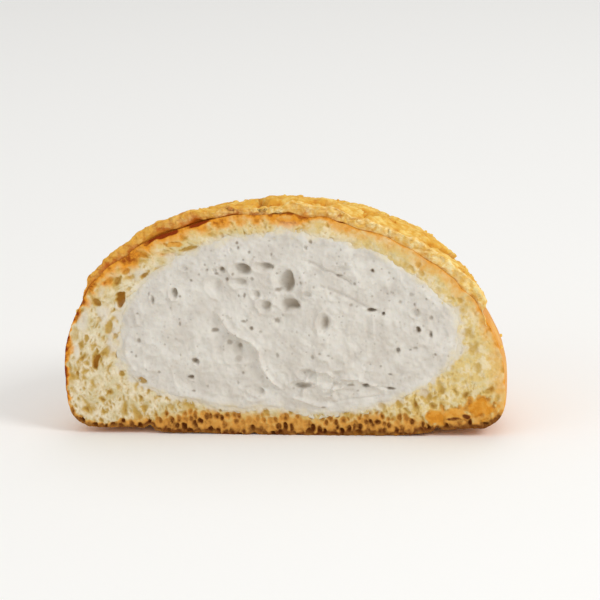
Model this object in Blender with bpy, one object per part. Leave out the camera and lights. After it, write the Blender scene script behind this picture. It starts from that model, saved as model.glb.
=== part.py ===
"""Half of a round streusel bun: soft bread with a crackled streusel crust baked on top and a
core of whipped cream, cut upright through its middle.

Metres, +Z up. The cut face looks along -Y, the bun stands on its flat base, and the origin is
on the table under the middle of the bun's box.

Every layer is sampled along one fan of rays from a core point on the cut. A ray's column is its
angle round the bun, from +X round the back to -X, and its row is its angle down from the top.
"""

import math

import bmesh
import bpy
import numpy as np

# Driving dimensions, in metres.
BUN_RADIUS = 0.050          # the bun's widest ring
BUN_HEIGHT = 0.0533         # table to the top of the streusel
WIDEST_HEIGHT = 0.0138      # height of the widest ring
BASE_CUT = 0.0007           # the belly that the flat base takes off
STREUSEL_THICKNESS = 0.0026
STREUSEL_DRIFT = 0.28       # how much thicker it lies towards +X, and thinner towards -X
CRACK_FLOOR = 0.0006        # streusel left at the bottom of a crack
LAYER_GAP = 0.0004          # clearance between two layers, along a ray
CREAM_RADIUS = 0.0380
CREAM_RISE = 0.0215         # cream above its widest ring
CREAM_DROP = 0.0194         # cream below its widest ring
CREAM_CENTRE = (0.0021, 0.0250)   # x and z of the cream's middle on the cut

CORE_HEIGHT = 0.026         # the core point, where every ray starts
CORE = np.array([0.0, 0.0, CORE_HEIGHT])
LONGEST_RAY = 0.09

# How finely each layer is sampled.
COLUMNS = 32
FILLING_COLUMNS = 16
STREUSEL_ROWS = 16
SIDE_ROWS = 20
STREUSEL_CELL = 0.00165
FACE_CELL = 0.00125

# Streusel plates: where the crust cracked as the bun rose in the oven.
PLATE_COUNT = 112           # on the whole bun, before the cut
PLATE_SPREAD = math.radians(98)
PLATE_SEED = 7
PLATE_JITTER = 0.0026
CRACK_WIDTHS = (-0.0016, 0.0034)  # between two plates; below zero the plates stay joined
CRACK_SLOPE = 0.0011
RIM_TAPER = math.radians(24)

# Air pockets in the cream: x and z on the cut, half width, half height and depth.
AIR_POCKETS = [
    (-0.0079, 0.0382, 0.0019, 0.0016, 0.0022),
    (-0.0026, 0.0389, 0.0024, 0.0014, 0.0014),
    (0.0019, 0.0359, 0.0025, 0.0032, 0.0024),
    (0.0025, 0.0306, 0.0025, 0.0021, 0.0020),
    (-0.0031, 0.0297, 0.0018, 0.0017, 0.0014),
    (-0.0084, 0.0351, 0.0022, 0.0014, 0.0010),
    (0.0107, 0.0265, 0.0016, 0.0025, 0.0014),
    (-0.0140, 0.0341, 0.0018, 0.0022, 0.0008),
    (-0.0102, 0.0195, 0.0029, 0.0030, 0.0009),
    (0.0041, 0.0118, 0.0025, 0.0014, 0.0017),
]
FOLD_HEIGHT = 0.0007        # the raised fold that runs down across the cream
FOLD_WIDTH = 0.0015
FOLD_POINTS = [
    (-0.0135, 0.0276),
    (-0.0091, 0.0226),
    (-0.0049, 0.0196),
    (-0.0045, 0.0160),
    (0.0014, 0.0094),
    (0.0101, 0.0077),
]

MATERIALS = {               # colour, roughness
    "bread": ((0.64, 0.40, 0.17, 1.0), 0.75),
    "streusel_crust": ((0.74, 0.46, 0.13, 1.0), 0.80),
    "cream_filling": ((0.66, 0.62, 0.54, 1.0), 0.55),
}


def round_form(middle, radius, rise, drop, upper, lower, swell=0.0):
    """A round body about an upright axis: rise above its widest ring and drop below it.

    upper and lower are each (power, lean). A power of 2 is an ellipse and a larger one is
    squarer; lean takes that much off at +X and adds it at -X. swell bulges the back.
    """

    def gauge(points):
        x = points[..., 0] - middle[0]
        y = points[..., 1]
        z = points[..., 2] - middle[1]
        reach = np.hypot(x, y)
        side = x / np.maximum(reach, 1e-9)
        turn = np.arctan2(y, x)
        above = z > 0
        power = np.where(above, upper[0] - upper[1] * side, lower[0] - lower[1] * side)
        height = np.where(above, z / rise, -z / drop)
        widest = radius * (1 + swell * np.sin(turn) ** 2 * np.sin(3 * turn))
        return (reach / widest) ** power + height ** power

    return gauge


BREAD_TOP = BUN_HEIGHT - STREUSEL_THICKNESS - LAYER_GAP
BREAD = round_form(
    middle=(0.0, WIDEST_HEIGHT),
    radius=BUN_RADIUS,
    rise=BREAD_TOP - WIDEST_HEIGHT,
    drop=WIDEST_HEIGHT + BASE_CUT,
    upper=(1.98, 0.09),
    lower=(4.95, 0.25),
    swell=0.012,
)
CREAM = round_form(
    middle=CREAM_CENTRE,
    radius=CREAM_RADIUS,
    rise=CREAM_RISE,
    drop=CREAM_DROP,
    upper=(1.84, 0.16),
    lower=(2.40, 0.30),
)


def rim_angle(turns):
    """How far down from the top the streusel's uneven rim lies, for each angle round the bun."""
    uneven = 2.0 * np.sin(4 * turns + 0.8) + 1.4 * np.sin(9 * turns + 2.0)
    return np.radians(87 + 1.2 * np.cos(turns) + uneven)


def rays_at(turns, falls):
    """Unit rays at angles round the bun and down from its top; both ends lie on the cut."""
    across = np.where((turns == 0) | (turns == math.pi), 0.0, np.sin(turns))
    level = np.sin(falls)
    return np.stack([level * np.cos(turns), level * across, np.cos(falls)], axis=-1)


def ray_fan(columns, rows_above, rows_below=0):
    """Rays, columns by rows: rows_above down to the streusel's rim, then rows_below further."""
    turns = np.linspace(0, math.pi, columns + 1)[:, None]
    rim = rim_angle(turns)
    falls = rim * np.linspace(0, 1, rows_above + 1)[None, :]
    if rows_below:
        further = rim + (math.pi - rim) * np.linspace(0, 1, rows_below + 1)[None, 1:]
        falls = np.concatenate([falls, further], axis=1)
    return rays_at(turns + 0 * falls, falls)


def distance_along(rays, form):
    """How far each ray goes from the core before it leaves the form."""
    near = np.zeros(rays.shape[:-1])
    far = np.full(rays.shape[:-1], LONGEST_RAY)
    for _ in range(40):
        middle = (near + far) / 2
        inside = form(CORE + rays * middle[..., None]) < 1
        near = np.where(inside, middle, near)
        far = np.where(inside, far, middle)
    return near


def surface(rays, form, offset=0.0):
    """The points where rays leave the form, offset further out."""
    return CORE + rays * (distance_along(rays, form) + offset)[..., None]


def plate_seeds():
    """Plate centres, spread evenly over the whole bun's top by the golden angle and jittered."""
    random = np.random.default_rng(PLATE_SEED)
    share = (np.arange(PLATE_COUNT) + 0.5) / PLATE_COUNT
    falls = np.arccos(1 - share * (1 - math.cos(PLATE_SPREAD)))
    turns = np.arange(PLATE_COUNT) * math.pi * (3 - math.sqrt(5))
    seeds = surface(rays_at(turns, falls), BREAD)
    seeds += random.normal(0, PLATE_JITTER, seeds.shape)
    widths = random.uniform(*CRACK_WIDTHS, (PLATE_COUNT, PLATE_COUNT))
    return seeds, (widths + widths.T) / 2


def plate_distances(points):
    """Distance to the border of each point's plate, and to the edge of the crack along it."""
    seeds, widths = plate_seeds()
    turned = points[..., [1, 2, 0]]
    bent = points + 0.0012 * np.sin(620 * turned + [0.4, 2.1, 4.0])
    bent += 0.0005 * np.sin(1700 * turned + [1.3, 0.2, 5.1])
    squares = ((bent[..., None, :] - seeds) ** 2).sum(axis=-1)
    own = squares.argmin(axis=-1)
    apart = np.linalg.norm(seeds[own][..., None, :] - seeds, axis=-1)
    border = (squares - squares.min(axis=-1)[..., None]) / (2 * np.maximum(apart, 1e-6))
    np.put_along_axis(border, own[..., None], np.inf, axis=-1)
    return border.min(axis=-1), (border - widths[own] / 2).min(axis=-1)


def settle_on_borders(rays, reach):
    """Turns the rays that pass within reach of a plate's border onto it, to keep cracks crisp."""
    points = surface(rays, BREAD)
    step = 0.0001
    rise = [
        plate_distances(points + side)[0] - plate_distances(points - side)[0]
        for side in np.eye(3) * step
    ]
    slope = np.stack(rise, axis=-1) / (2 * step)
    border = plate_distances(points)[0]
    move = slope * (border / np.maximum((slope**2).sum(axis=-1), 0.2))[..., None]
    settled = points - np.where(border < reach, 1.0, 0.0)[..., None] * move - CORE
    return settled / np.linalg.norm(settled, axis=-1)[..., None]


def smooth_step(value):
    value = np.clip(value, 0, 1)
    return value * value * (3 - 2 * value)


def streusel_thickness(rays, points):
    """Full plates over the top, thinner towards the rim, and only a floor in the cracks."""
    turns = np.arctan2(rays[..., 1], rays[..., 0])
    falls = np.arccos(rays[..., 2])
    taper = smooth_step((rim_angle(turns) - falls) / RIM_TAPER)
    plate = smooth_step(plate_distances(points)[1] / CRACK_SLOPE)
    full = STREUSEL_THICKNESS * (1 + STREUSEL_DRIFT * rays[..., 0])
    return CRACK_FLOOR + (full - CRACK_FLOOR) * plate * (0.3 + 0.7 * taper)


def distance_to_line(x, z, line):
    """Distance from points on the cut to a line through the given corners."""
    nearest = np.full(x.shape, np.inf)
    for (x0, z0), (x1, z1) in zip(line, line[1:]):
        along = ((x - x0) * (x1 - x0) + (z - z0) * (z1 - z0)) / ((x1 - x0) ** 2 + (z1 - z0) ** 2)
        along = np.clip(along, 0, 1)
        reach = np.hypot(x - x0 - along * (x1 - x0), z - z0 - along * (z1 - z0))
        nearest = np.minimum(nearest, reach)
    return nearest


def cream_relief(x, z):
    """How far the cream's cut face lies behind the cut: pockets go in and the fold stands out."""
    depth = np.zeros(x.shape)
    for pocket_x, pocket_z, half_width, half_height, pocket_depth in AIR_POCKETS:
        reach = np.hypot((x - pocket_x) / half_width, (z - pocket_z) / half_height)
        depth = np.maximum(depth, pocket_depth * smooth_step((1.25 - reach) / 0.8))
    fold = FOLD_HEIGHT * np.exp(-((distance_to_line(x, z, FOLD_POINTS) / FOLD_WIDTH) ** 2))
    return depth - fold * (depth < FOLD_HEIGHT)


def outline(lattice):
    """The loop where a layer meets the cut: down the +X side, then up the -X side."""
    return np.concatenate([lattice[0], lattice[-1, -2::-1]])


def add_band(mesh, first, second):
    """Closes the band between two lines of points, which may differ in how many they have."""
    first = [mesh.verts.new(point) for point in first]
    second = [mesh.verts.new(point) for point in second]
    spans, other_spans = len(first) - 1, len(second) - 1
    i = k = 0
    while i < spans or k < other_spans:
        if k == other_spans or (i < spans and (i + 1) * other_spans <= (k + 1) * spans):
            mesh.faces.new([first[i], first[i + 1], second[k]])
            i += 1
        else:
            mesh.faces.new([first[i], second[k + 1], second[k]])
            k += 1


def add_bands(mesh, lines):
    for first, second in zip(lines, lines[1:]):
        add_band(mesh, first, second)


def finish_part(mesh, name):
    """Welds the sheets into one closed body, with its own material."""
    bmesh.ops.remove_doubles(mesh, verts=mesh.verts, dist=1e-6)
    bmesh.ops.dissolve_degenerate(mesh, edges=mesh.edges, dist=1e-6)
    bmesh.ops.recalc_face_normals(mesh, faces=mesh.faces)
    data = bpy.data.meshes.new(name)
    mesh.to_mesh(data)
    mesh.free()
    data.shade_smooth()
    data.set_sharp_from_angle(angle=math.radians(35))
    colour, roughness = MATERIALS[name]
    material = bpy.data.materials.new(name)
    material.use_nodes = True
    shader = material.node_tree.nodes["Principled BSDF"]
    shader.inputs["Base Color"].default_value = colour
    shader.inputs["Roughness"].default_value = roughness
    shader.inputs["Metallic"].default_value = 0.0
    data.materials.append(material)
    part = bpy.data.objects.new(name, data)
    bpy.context.scene.collection.objects.link(part)
    return part


def make_bread():
    """Crumb and browned skin in one piece, with a flat base and the hollow that holds the cream."""
    mesh = bmesh.new()
    outside = surface(ray_fan(COLUMNS, STREUSEL_ROWS, SIDE_ROWS), BREAD)
    outside[..., 2] = np.maximum(outside[..., 2], 0)
    hollow = surface(ray_fan(FILLING_COLUMNS, STREUSEL_ROWS, SIDE_ROWS), CREAM, LAYER_GAP)
    add_bands(mesh, outside)
    add_bands(mesh, hollow)
    add_band(mesh, outline(outside), outline(hollow))
    return finish_part(mesh, "bread")


def streusel_rings():
    """The streusel's top, as rings from the middle to the rim with evenly sized cells."""
    count = round(1.45 * BUN_RADIUS / STREUSEL_CELL)
    rings = []
    for share in np.linspace(0, 1, count + 1):
        fall = rim_angle(math.pi / 2) * share
        cells = math.ceil(math.pi * BUN_RADIUS * math.sin(fall) / STREUSEL_CELL)
        turns = np.linspace(0, math.pi, cells + 1)
        rays = rays_at(turns, rim_angle(turns) * share)
        if 0 < share < 1:
            rays[1:-1] = settle_on_borders(rays[1:-1], 0.6 * STREUSEL_CELL)
        lying = surface(rays, BREAD, LAYER_GAP)
        rings.append(lying + rays * streusel_thickness(rays, lying)[..., None])
    return rings


def make_streusel_crust():
    """A baked sheet of streusel over the top, cracked into plates that its floor still joins."""
    mesh = bmesh.new()
    inside = surface(ray_fan(COLUMNS, STREUSEL_ROWS), BREAD, LAYER_GAP)
    rings = streusel_rings()
    add_bands(mesh, inside)
    add_bands(mesh, rings)
    add_band(mesh, [ring[0] for ring in rings], inside[0])
    add_band(mesh, [ring[-1] for ring in rings], inside[-1])
    add_band(mesh, rings[-1], inside[:, -1])
    return finish_part(mesh, "streusel_crust")


def make_cream_filling():
    """Whipped cream that fills the hollow and shows its air pockets and fold on the cut."""
    mesh = bmesh.new()
    outside = surface(ray_fan(FILLING_COLUMNS, STREUSEL_ROWS, SIDE_ROWS), CREAM)
    edge = outline(outside)
    place = np.linspace(0, 1, len(edge))
    count = round(1.15 * CREAM_RISE / FACE_CELL)
    rings = [edge[:1] * 0 + CORE]
    for share in np.linspace(0, 1, count + 1)[1:-1]:
        cells = math.ceil(4.8 * CREAM_RADIUS * share / FACE_CELL)
        around = np.linspace(0, 1, cells + 1)
        ring = np.stack([np.interp(around, place, edge[:, axis]) for axis in range(3)], axis=-1)
        ring = CORE + (ring - CORE) * share
        ring[:, 1] += cream_relief(ring[:, 0], ring[:, 2])
        rings.append(ring)
    rings.append(edge)
    add_bands(mesh, outside)
    add_bands(mesh, rings)
    return finish_part(mesh, "cream_filling")


def stand_on_origin(parts):
    """Moves the parts so that the middle of their box is above the origin."""
    bpy.context.view_layer.update()
    corners = np.array([part.matrix_world @ v.co for part in parts for v in part.data.vertices])
    middle = (corners.min(axis=0) + corners.max(axis=0)) / 2
    for part in parts:
        part.location = (-middle[0], -middle[1], 0)


def main():
    for item in list(bpy.data.objects):
        bpy.data.objects.remove(item)
    stand_on_origin([make_bread(), make_streusel_crust(), make_cream_filling()])


main()
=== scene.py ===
import math

import bmesh
import bpy
import numpy as np
from mathutils import Euler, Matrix, Vector, geometry, kdtree


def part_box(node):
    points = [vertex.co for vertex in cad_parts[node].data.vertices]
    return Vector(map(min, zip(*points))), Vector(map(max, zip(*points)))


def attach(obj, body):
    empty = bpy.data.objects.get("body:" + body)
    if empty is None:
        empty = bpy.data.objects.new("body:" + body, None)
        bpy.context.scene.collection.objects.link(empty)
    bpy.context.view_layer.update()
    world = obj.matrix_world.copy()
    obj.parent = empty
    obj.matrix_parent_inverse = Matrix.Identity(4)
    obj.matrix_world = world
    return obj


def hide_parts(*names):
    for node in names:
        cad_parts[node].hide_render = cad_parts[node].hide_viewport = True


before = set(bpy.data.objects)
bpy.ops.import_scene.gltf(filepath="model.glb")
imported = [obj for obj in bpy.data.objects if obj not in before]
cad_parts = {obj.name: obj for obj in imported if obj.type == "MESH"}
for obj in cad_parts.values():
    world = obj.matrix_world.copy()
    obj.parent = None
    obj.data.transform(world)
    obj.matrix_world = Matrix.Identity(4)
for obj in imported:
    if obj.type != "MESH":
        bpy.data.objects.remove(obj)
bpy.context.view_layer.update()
breadLow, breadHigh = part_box("bread")
creamLow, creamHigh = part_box("cream_filling")
print("bun: frame loaded")

# Shapes are worked out in the cut's own frame: the cut is y = 0 and the bun lies behind it.
cutY = breadLow.y
bunRadius = (breadHigh.x - breadLow.x) / 2
breadTop = breadHigh.z
core = np.array([0.0, 0.0, 0.026])   # where every ray starts

bread = {
    "widestHeight": 0.0138,
    "baseCut": 0.0007,       # the belly that the flat base takes off
    "upper": (1.98, 0.09),   # power and lean of the dome
    "lower": (4.95, 0.25),
    "swell": 0.012,
    "skinLift": 0.00045,     # the skin puffs up a little under the streusel
    "faceCell": 0.00021,     # mesh size on the cut
    "skinCell": 0.00095,     # mesh size on the skin
    "lip": 0.0030,           # crumb that reaches in under the cream's edge
    "rimPoints": 1000,       # round the cut's outline
    "hollowPoints": 620,     # round the hollow
}
cream = {
    "centre": (0.0021, 0.0250),
    "upper": (1.84, 0.16),
    "lower": (2.40, 0.30),
    "faceCell": 0.00023,
    "proud": 0.00025,        # how far it stands out in front of the crumb
    "rimPoints": 1100,
    # how far its edge on the cut lies outside the hollow: angle round the core in degrees, distance in mm
    "edge": [
        (0, 0.0), (25, -0.7), (40, 0.4), (55, -0.3), (75, -0.2), (91, -0.2), (109, -0.5), (127, -0.6),
        (151, -1.2), (162, -1.1), (170, -1.3), (177, -0.2), (185, 0.2), (192, 1.4), (198, 1.5), (206, 0.9),
        (213, 0.0), (219, -1.2), (230, -1.0), (245, -0.6), (262, -1.4), (275, -0.6), (290, 0.4), (307, 0.8),
        (335, 0.8), (360, 0.0),
    ],
}
streusel = {
    "thickness": 0.0026,
    "drift": 0.28,           # thicker towards +X, thinner towards -X
    "gap": 0.0004,
    "sunk": -0.00045,        # where there is no streusel, its sheet runs below the skin
    "plates": 112,           # on the whole bun, before the cut
    "spread": math.radians(98),
    "seed": 7,
    "jitter": 0.0026,
    "crackWidths": (-0.0018, 0.0030),
    "rimTaper": math.radians(24),
    "topCell": 0.00037,      # mesh size outside
    "underCell": 0.0011,     # mesh size underneath
    "wallRows": 14,          # rows of points down its cut edge
}


# Shared maths

def smoothStep(value):
    value = np.clip(value, 0, 1)
    return value * value * (3 - 2 * value)


def noiseAt(points, cell, seed):
    # smooth random field from about -1 to 1, one bump to a cell
    place = points / cell
    base = np.floor(place)
    part = place - base
    part = part * part * (3 - 2 * part)
    base = base.astype(np.int64)
    total = np.zeros(points.shape[:-1])
    for corner in np.ndindex(2, 2, 2):
        key = (base + corner) @ np.array([73856093, 19349663, 83492791]) + seed * 6542989
        key = (key ^ (key >> 15)) * 2246822519 & 0xFFFFFFFF
        key = (key ^ (key >> 13)) * 3266489917 & 0xFFFFFFFF
        value = ((key ^ (key >> 16)) & 0xFFFF) / 32767.5 - 1
        total += value * np.prod(np.where(corner, part, 1 - part), axis=-1)
    return total


def roundForm(middle, radius, rise, drop, upper, lower, swell=0.0):
    # a round body about an upright axis: below 1 inside it, above 1 outside
    def gauge(points):
        x = points[..., 0] - middle[0]
        y = points[..., 1]
        z = points[..., 2] - middle[1]
        reach = np.hypot(x, y)
        side = x / np.maximum(reach, 1e-9)
        above = z > 0
        power = np.where(above, upper[0] - upper[1] * side, lower[0] - lower[1] * side)
        height = np.where(above, z / rise, -z / drop)
        turn = np.arctan2(y, x)
        widest = radius * (1 + swell * np.sin(turn) ** 2 * np.sin(3 * turn))
        return (reach / widest) ** power + height ** power

    return gauge


breadForm = roundForm(
    (0.0, bread["widestHeight"]), bunRadius, breadTop - bread["widestHeight"],
    bread["widestHeight"] + bread["baseCut"], bread["upper"], bread["lower"], bread["swell"],
)
creamForm = roundForm(
    cream["centre"], (creamHigh.x - creamLow.x) / 2, creamHigh.z - cream["centre"][1],
    cream["centre"][1] - creamLow.z, cream["upper"], cream["lower"],
)


def distanceAlong(rays, form):
    near = np.zeros(rays.shape[:-1])
    far = np.full(rays.shape[:-1], 0.09)
    for _ in range(34):
        middle = (near + far) / 2
        inside = form(core + rays * middle[..., None]) < 1
        near = np.where(inside, middle, near)
        far = np.where(inside, far, middle)
    return near


def surfaceAt(rays, form, offset=0.0):
    return core + rays * (distanceAlong(rays, form) + offset)[..., None]


def rimAngle(turns):
    # how far down from the top the streusel's uneven rim lies
    uneven = 2.0 * np.sin(4 * turns + 0.8) + 1.4 * np.sin(9 * turns + 2.0)
    return np.radians(87 + 1.2 * np.cos(turns) + uneven)


def raysFromTop(turns, falls):
    # turns run from +X round the back to -X, falls from the top down
    across = np.where((turns == 0) | (turns == math.pi), 0.0, np.sin(turns))
    level = np.sin(falls)
    return np.stack([level * np.cos(turns), level * across, np.cos(falls)], axis=-1)


def raysFromCut(around, back):
    # around runs round the cut's outline, back from the cut to the middle of the back
    flat = math.cos(back)
    depth = np.full(len(around), math.sin(back))
    return np.stack([flat * np.cos(around), depth, flat * np.sin(around)], axis=-1)


toBack = raysFromCut(np.zeros(1), math.pi / 2)


def turnAndFall(rays):
    return np.arctan2(rays[..., 1], rays[..., 0]), np.arccos(np.clip(rays[..., 2], -1, 1))


def lineDistance(x, z, line):
    # distance on the cut to a line through some corners, and how far along it from 0 to 1
    nearest = np.full(x.shape, np.inf)
    share = np.zeros(x.shape)
    for k, ((x0, z0), (x1, z1)) in enumerate(zip(line, line[1:])):
        along = ((x - x0) * (x1 - x0) + (z - z0) * (z1 - z0)) / ((x1 - x0) ** 2 + (z1 - z0) ** 2)
        along = np.clip(along, 0, 1)
        reach = np.hypot(x - x0 - along * (x1 - x0), z - z0 - along * (z1 - z0))
        share = np.where(reach < nearest, (k + along) / (len(line) - 1), share)
        nearest = np.minimum(nearest, reach)
    return nearest, share


def creamShift(points):
    # how far the cream's edge on the cut lies outside its hollow
    angles, shifts = np.array(cream["edge"]).T
    turn = np.degrees(np.arctan2(points[..., 2] - core[2], points[..., 0])) % 360
    return np.interp(turn, angles, shifts) / 1000


def pastCream(points):
    # distance outside the cream's edge on the cut, below 0 inside it
    away = points - core
    reach = np.linalg.norm(away, axis=-1)
    rays = away / np.maximum(reach, 1e-9)[..., None]
    return reach - distanceAlong(rays, creamForm) - creamShift(points)


# Closed bodies, put together from lines of points and the bands between them

def newBody():
    return {"points": [], "count": 0, "faces": [], "kinds": []}


def addPoints(body, points):
    first = body["count"]
    body["points"].append(np.asarray(points, dtype=float))
    body["count"] += len(points)
    return np.arange(first, body["count"])


def addFaces(body, faces, kind):
    body["faces"].append(np.asarray(faces, dtype=np.int64).reshape(-1, 3))
    body["kinds"].append(np.full(len(body["faces"][-1]), kind))


def addBand(body, first, second, kind=0, closed=False):
    # joins two lines that may differ in how many points they have
    first, second = list(first), list(second)
    if closed:
        first.append(first[0])
        second.append(second[0])
    spans, others = len(first) - 1, len(second) - 1
    faces = []
    i = k = 0
    while i < spans or k < others:
        if k == others or (i < spans and (i + 1) * others <= (k + 1) * spans):
            faces.append((first[i], first[i + 1], second[k]))
            i += 1
        else:
            faces.append((first[i], second[k + 1], second[k]))
            k += 1
    addFaces(body, faces, kind)


def addSheet(body, sizes, points):
    # rows of points, each joined to the next
    rows = np.split(addPoints(body, points), np.cumsum(sizes)[:-1])
    for first, second in zip(rows, rows[1:]):
        addBand(body, first, second)
    return rows


def addDome(body, rim, around, rings, pointsAt, kind, pole=None):
    # rings that shrink from the cut to the middle of the back, spaced as the angles of the rim are
    turns = np.append(around, 2 * math.pi)
    last = rim
    for back, count in rings:
        count = max(6, round(count * math.cos(back)))
        angles = np.interp(np.arange(count) / count * len(around), np.arange(len(turns)), turns)
        ring = addPoints(body, pointsAt(raysFromCut(angles, back)))
        addBand(body, last, ring, kind, closed=True)
        last = ring
    addBand(body, last, addPoints(body, pointsAt(toBack) if pole is None else pole), kind, closed=True)


def nearestOn(line):
    # gives the distance from a spot on the cut to the nearest of some points
    tree = kdtree.KDTree(len(line))
    for k, (x, z) in enumerate(line):
        tree.insert((x, z, 0), k)
    tree.balance()
    return lambda x, z: tree.find((x, z, 0))[2]


def flatSheet(body, loops, cell, keep, kind):
    # evenly sized triangles on the cut between closed loops that are in the body already
    points = np.concatenate(body["points"])
    edges, order = [], []
    for loop in loops:
        start = len(order)
        edges += [(start + k, start + (k + 1) % len(loop)) for k in range(len(loop))]
        order += list(loop)
    rim = points[order][:, [0, 2]]
    low, high = rim.min(axis=0), rim.max(axis=0)
    rowStep = cell * math.sqrt(3) / 2
    columns = np.arange(low[0], high[0], cell)
    rows = np.arange(low[1], high[1], rowStep)
    grid = np.stack(np.meshgrid(columns, rows), axis=-1)
    grid[1::2, :, 0] += cell / 2
    grid = grid.reshape(-1, 2)
    random = np.random.default_rng(3)
    grid += random.uniform(-0.12, 0.12, grid.shape) * cell
    grid = grid[keep(grid)]
    near = nearestOn(rim)
    grid = grid[np.array([near(x, z) > 0.6 * cell for x, z in grid])]
    flat = [Vector(point) for point in np.concatenate([rim, grid])]
    made = geometry.delaunay_2d_cdt(flat, edges, [], 1, 1e-9)
    inside = addPoints(body, np.stack([grid[:, 0], 0 * grid[:, 0], grid[:, 1]], axis=-1))
    lookup = np.concatenate([order, inside])
    kept = np.array([old[0] if old else -1 for old in made[3]])
    faces = kept[np.array(made[2])]
    middle = np.concatenate([rim, grid])[faces].mean(axis=1)
    addFaces(body, lookup[faces[keep(middle)]], kind)


def withinOutline(line):
    # both outlines on the cut are a plain function of the angle round the core
    away = line - core[[0, 2]]
    turns = np.arctan2(away[:, 1], away[:, 0])
    order = np.argsort(turns)
    turns, reach = turns[order], np.hypot(*away[order].T)

    def within(spots):
        out = spots - core[[0, 2]]
        angles = np.arctan2(out[:, 1], out[:, 0])
        return np.hypot(*out.T) < np.interp(angles, turns, reach, period=2 * math.pi)

    return within


def evenAngles(form, count):
    # angles round the cut's outline that give evenly spaced points
    fine = np.linspace(0, 2 * math.pi, 2881)
    line = surfaceAt(raysFromCut(fine, 0.0), form)
    line[:, 2] = np.maximum(line[:, 2], 0)
    steps = np.linalg.norm(np.diff(line, axis=0), axis=1)
    run = np.concatenate([[0], np.cumsum(steps)])
    return np.interp(np.linspace(0, run[-1], count, endpoint=False), run, fine)


def paint(data, name, values):
    # a value or a vector on every point of a mesh
    kind, key = ("FLOAT_VECTOR", "vector") if np.ndim(values) == 2 else ("FLOAT", "value")
    layer = data.attributes.new(name, kind, "POINT")
    layer.data.foreach_set(key, np.ravel(values).astype(np.float32))


def makeObject(name, body, marks, outward=True):
    points = np.concatenate(body["points"]) + [0, cutY, 0]
    faces = np.concatenate(body["faces"])
    data = bpy.data.meshes.new(name)
    data.from_pydata(points.tolist(), [], faces.tolist())
    for mark, values in marks.items():
        paint(data, mark, values)
    layer = data.attributes.new("kind", "INT", "FACE")
    layer.data.foreach_set("value", np.concatenate(body["kinds"]).astype(np.int32))
    if outward:
        tool = bmesh.new()
        tool.from_mesh(data)
        bmesh.ops.recalc_face_normals(tool, faces=tool.faces)
        tool.to_mesh(data)
        tool.free()
    data.shade_smooth()
    thing = bpy.data.objects.new(name, data)
    bpy.context.scene.collection.objects.link(thing)
    return thing


# Node helpers

class Wire:
    # a node's output; a sum with it adds the node that works it out

    def __init__(self, socket):
        self.socket = socket
        self.tree = socket.id_data

    def maths(self, operation, first, second):
        return wire(self.tree, "ShaderNodeMath", {0: first, 1: second}, operation=operation)

    def __add__(self, other):
        return self.maths("ADD", self, other)

    def __sub__(self, other):
        return self.maths("SUBTRACT", self, other)

    def __rsub__(self, other):
        return self.maths("SUBTRACT", other, self)

    def __mul__(self, other):
        return self.maths("MULTIPLY", self, other)

    def __truediv__(self, other):
        return self.maths("DIVIDE", self, other)

    def __rtruediv__(self, other):
        return self.maths("DIVIDE", other, self)

    def orMore(self, other):
        return self.maths("MAXIMUM", self, other)

    def held(self):
        # keeps the last sum between 0 and 1
        self.socket.node.use_clamp = True
        return self


def plug(socket, value):
    if isinstance(value, Wire):
        socket.id_data.links.new(value.socket, socket)
    else:
        socket.default_value = value


def addNode(tree, kind, values=None, **settings):
    node = tree.nodes.new(kind)
    for name, value in settings.items():
        setattr(node, name, value)
    for name, value in (values or {}).items():
        plug(node.inputs[name], value)
    return node


def wire(tree, kind, values=None, output=0, **settings):
    # one output of a new node
    return Wire(addNode(tree, kind, values, **settings).outputs[output])


def ramp(value, low, high, start=0.0, end=1.0):
    steps = {"Value": value, "From Min": low, "From Max": high, "To Min": start, "To Max": end}
    return wire(value.tree, "ShaderNodeMapRange", steps, interpolation_type="SMOOTHSTEP")


def blend(share, first, second):
    return wire(share.tree, "ShaderNodeMix", {0: share, 6: first, 7: second}, 2, data_type="RGBA")


def tone(red, green, blue):
    # a colour as seen on screen, from 0 to 255, made linear
    parts = [part / 255 for part in (red, green, blue)]
    return tuple(p / 12.92 if p < 0.04045 else ((p + 0.055) / 1.055) ** 2.4 for p in parts) + (1.0,)


def newGroup(name, kind, inputs, outputs):
    # an input is given by its value, or by its kind where it has none
    group = bpy.data.node_groups.new(name, kind)
    kinds = {float: "Float", int: "Int", tuple: "Color"}
    for label, value in inputs.items():
        own = kinds.get(type(value), value)
        socket = group.interface.new_socket(label, in_out="INPUT", socket_type="NodeSocket" + own)
        if own != value:
            socket.default_value = value
    for label, own in outputs.items():
        group.interface.new_socket(label, in_out="OUTPUT", socket_type="NodeSocket" + own)
    source = group.nodes.new("NodeGroupInput")
    return group, lambda label: Wire(source.outputs[label]), group.nodes.new("NodeGroupOutput").inputs


def useGroup(tree, group, values):
    node = addNode(tree, "ShaderNodeGroup", node_tree=group)
    for name, value in values.items():
        plug(node.inputs[name], value)
    return lambda label: Wire(node.outputs[label])


# Shared shader groups: a three-step oven colour, and a fine food grain

def makeOvenTone():
    group, given, out = newGroup(
        "ovenTone", "ShaderNodeTree",
        {"Bake": 0.5, "Pale": tone(246, 224, 161), "Golden": tone(229, 190, 105), "Brown": tone(159, 72, 8)},
        {"Color": "Color"},
    )
    lighter = blend(ramp(given("Bake"), 0.0, 0.5), given("Pale"), given("Golden"))
    plug(out["Color"], blend(ramp(given("Bake"), 0.45, 1.0), lighter, given("Brown")))
    return group


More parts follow.
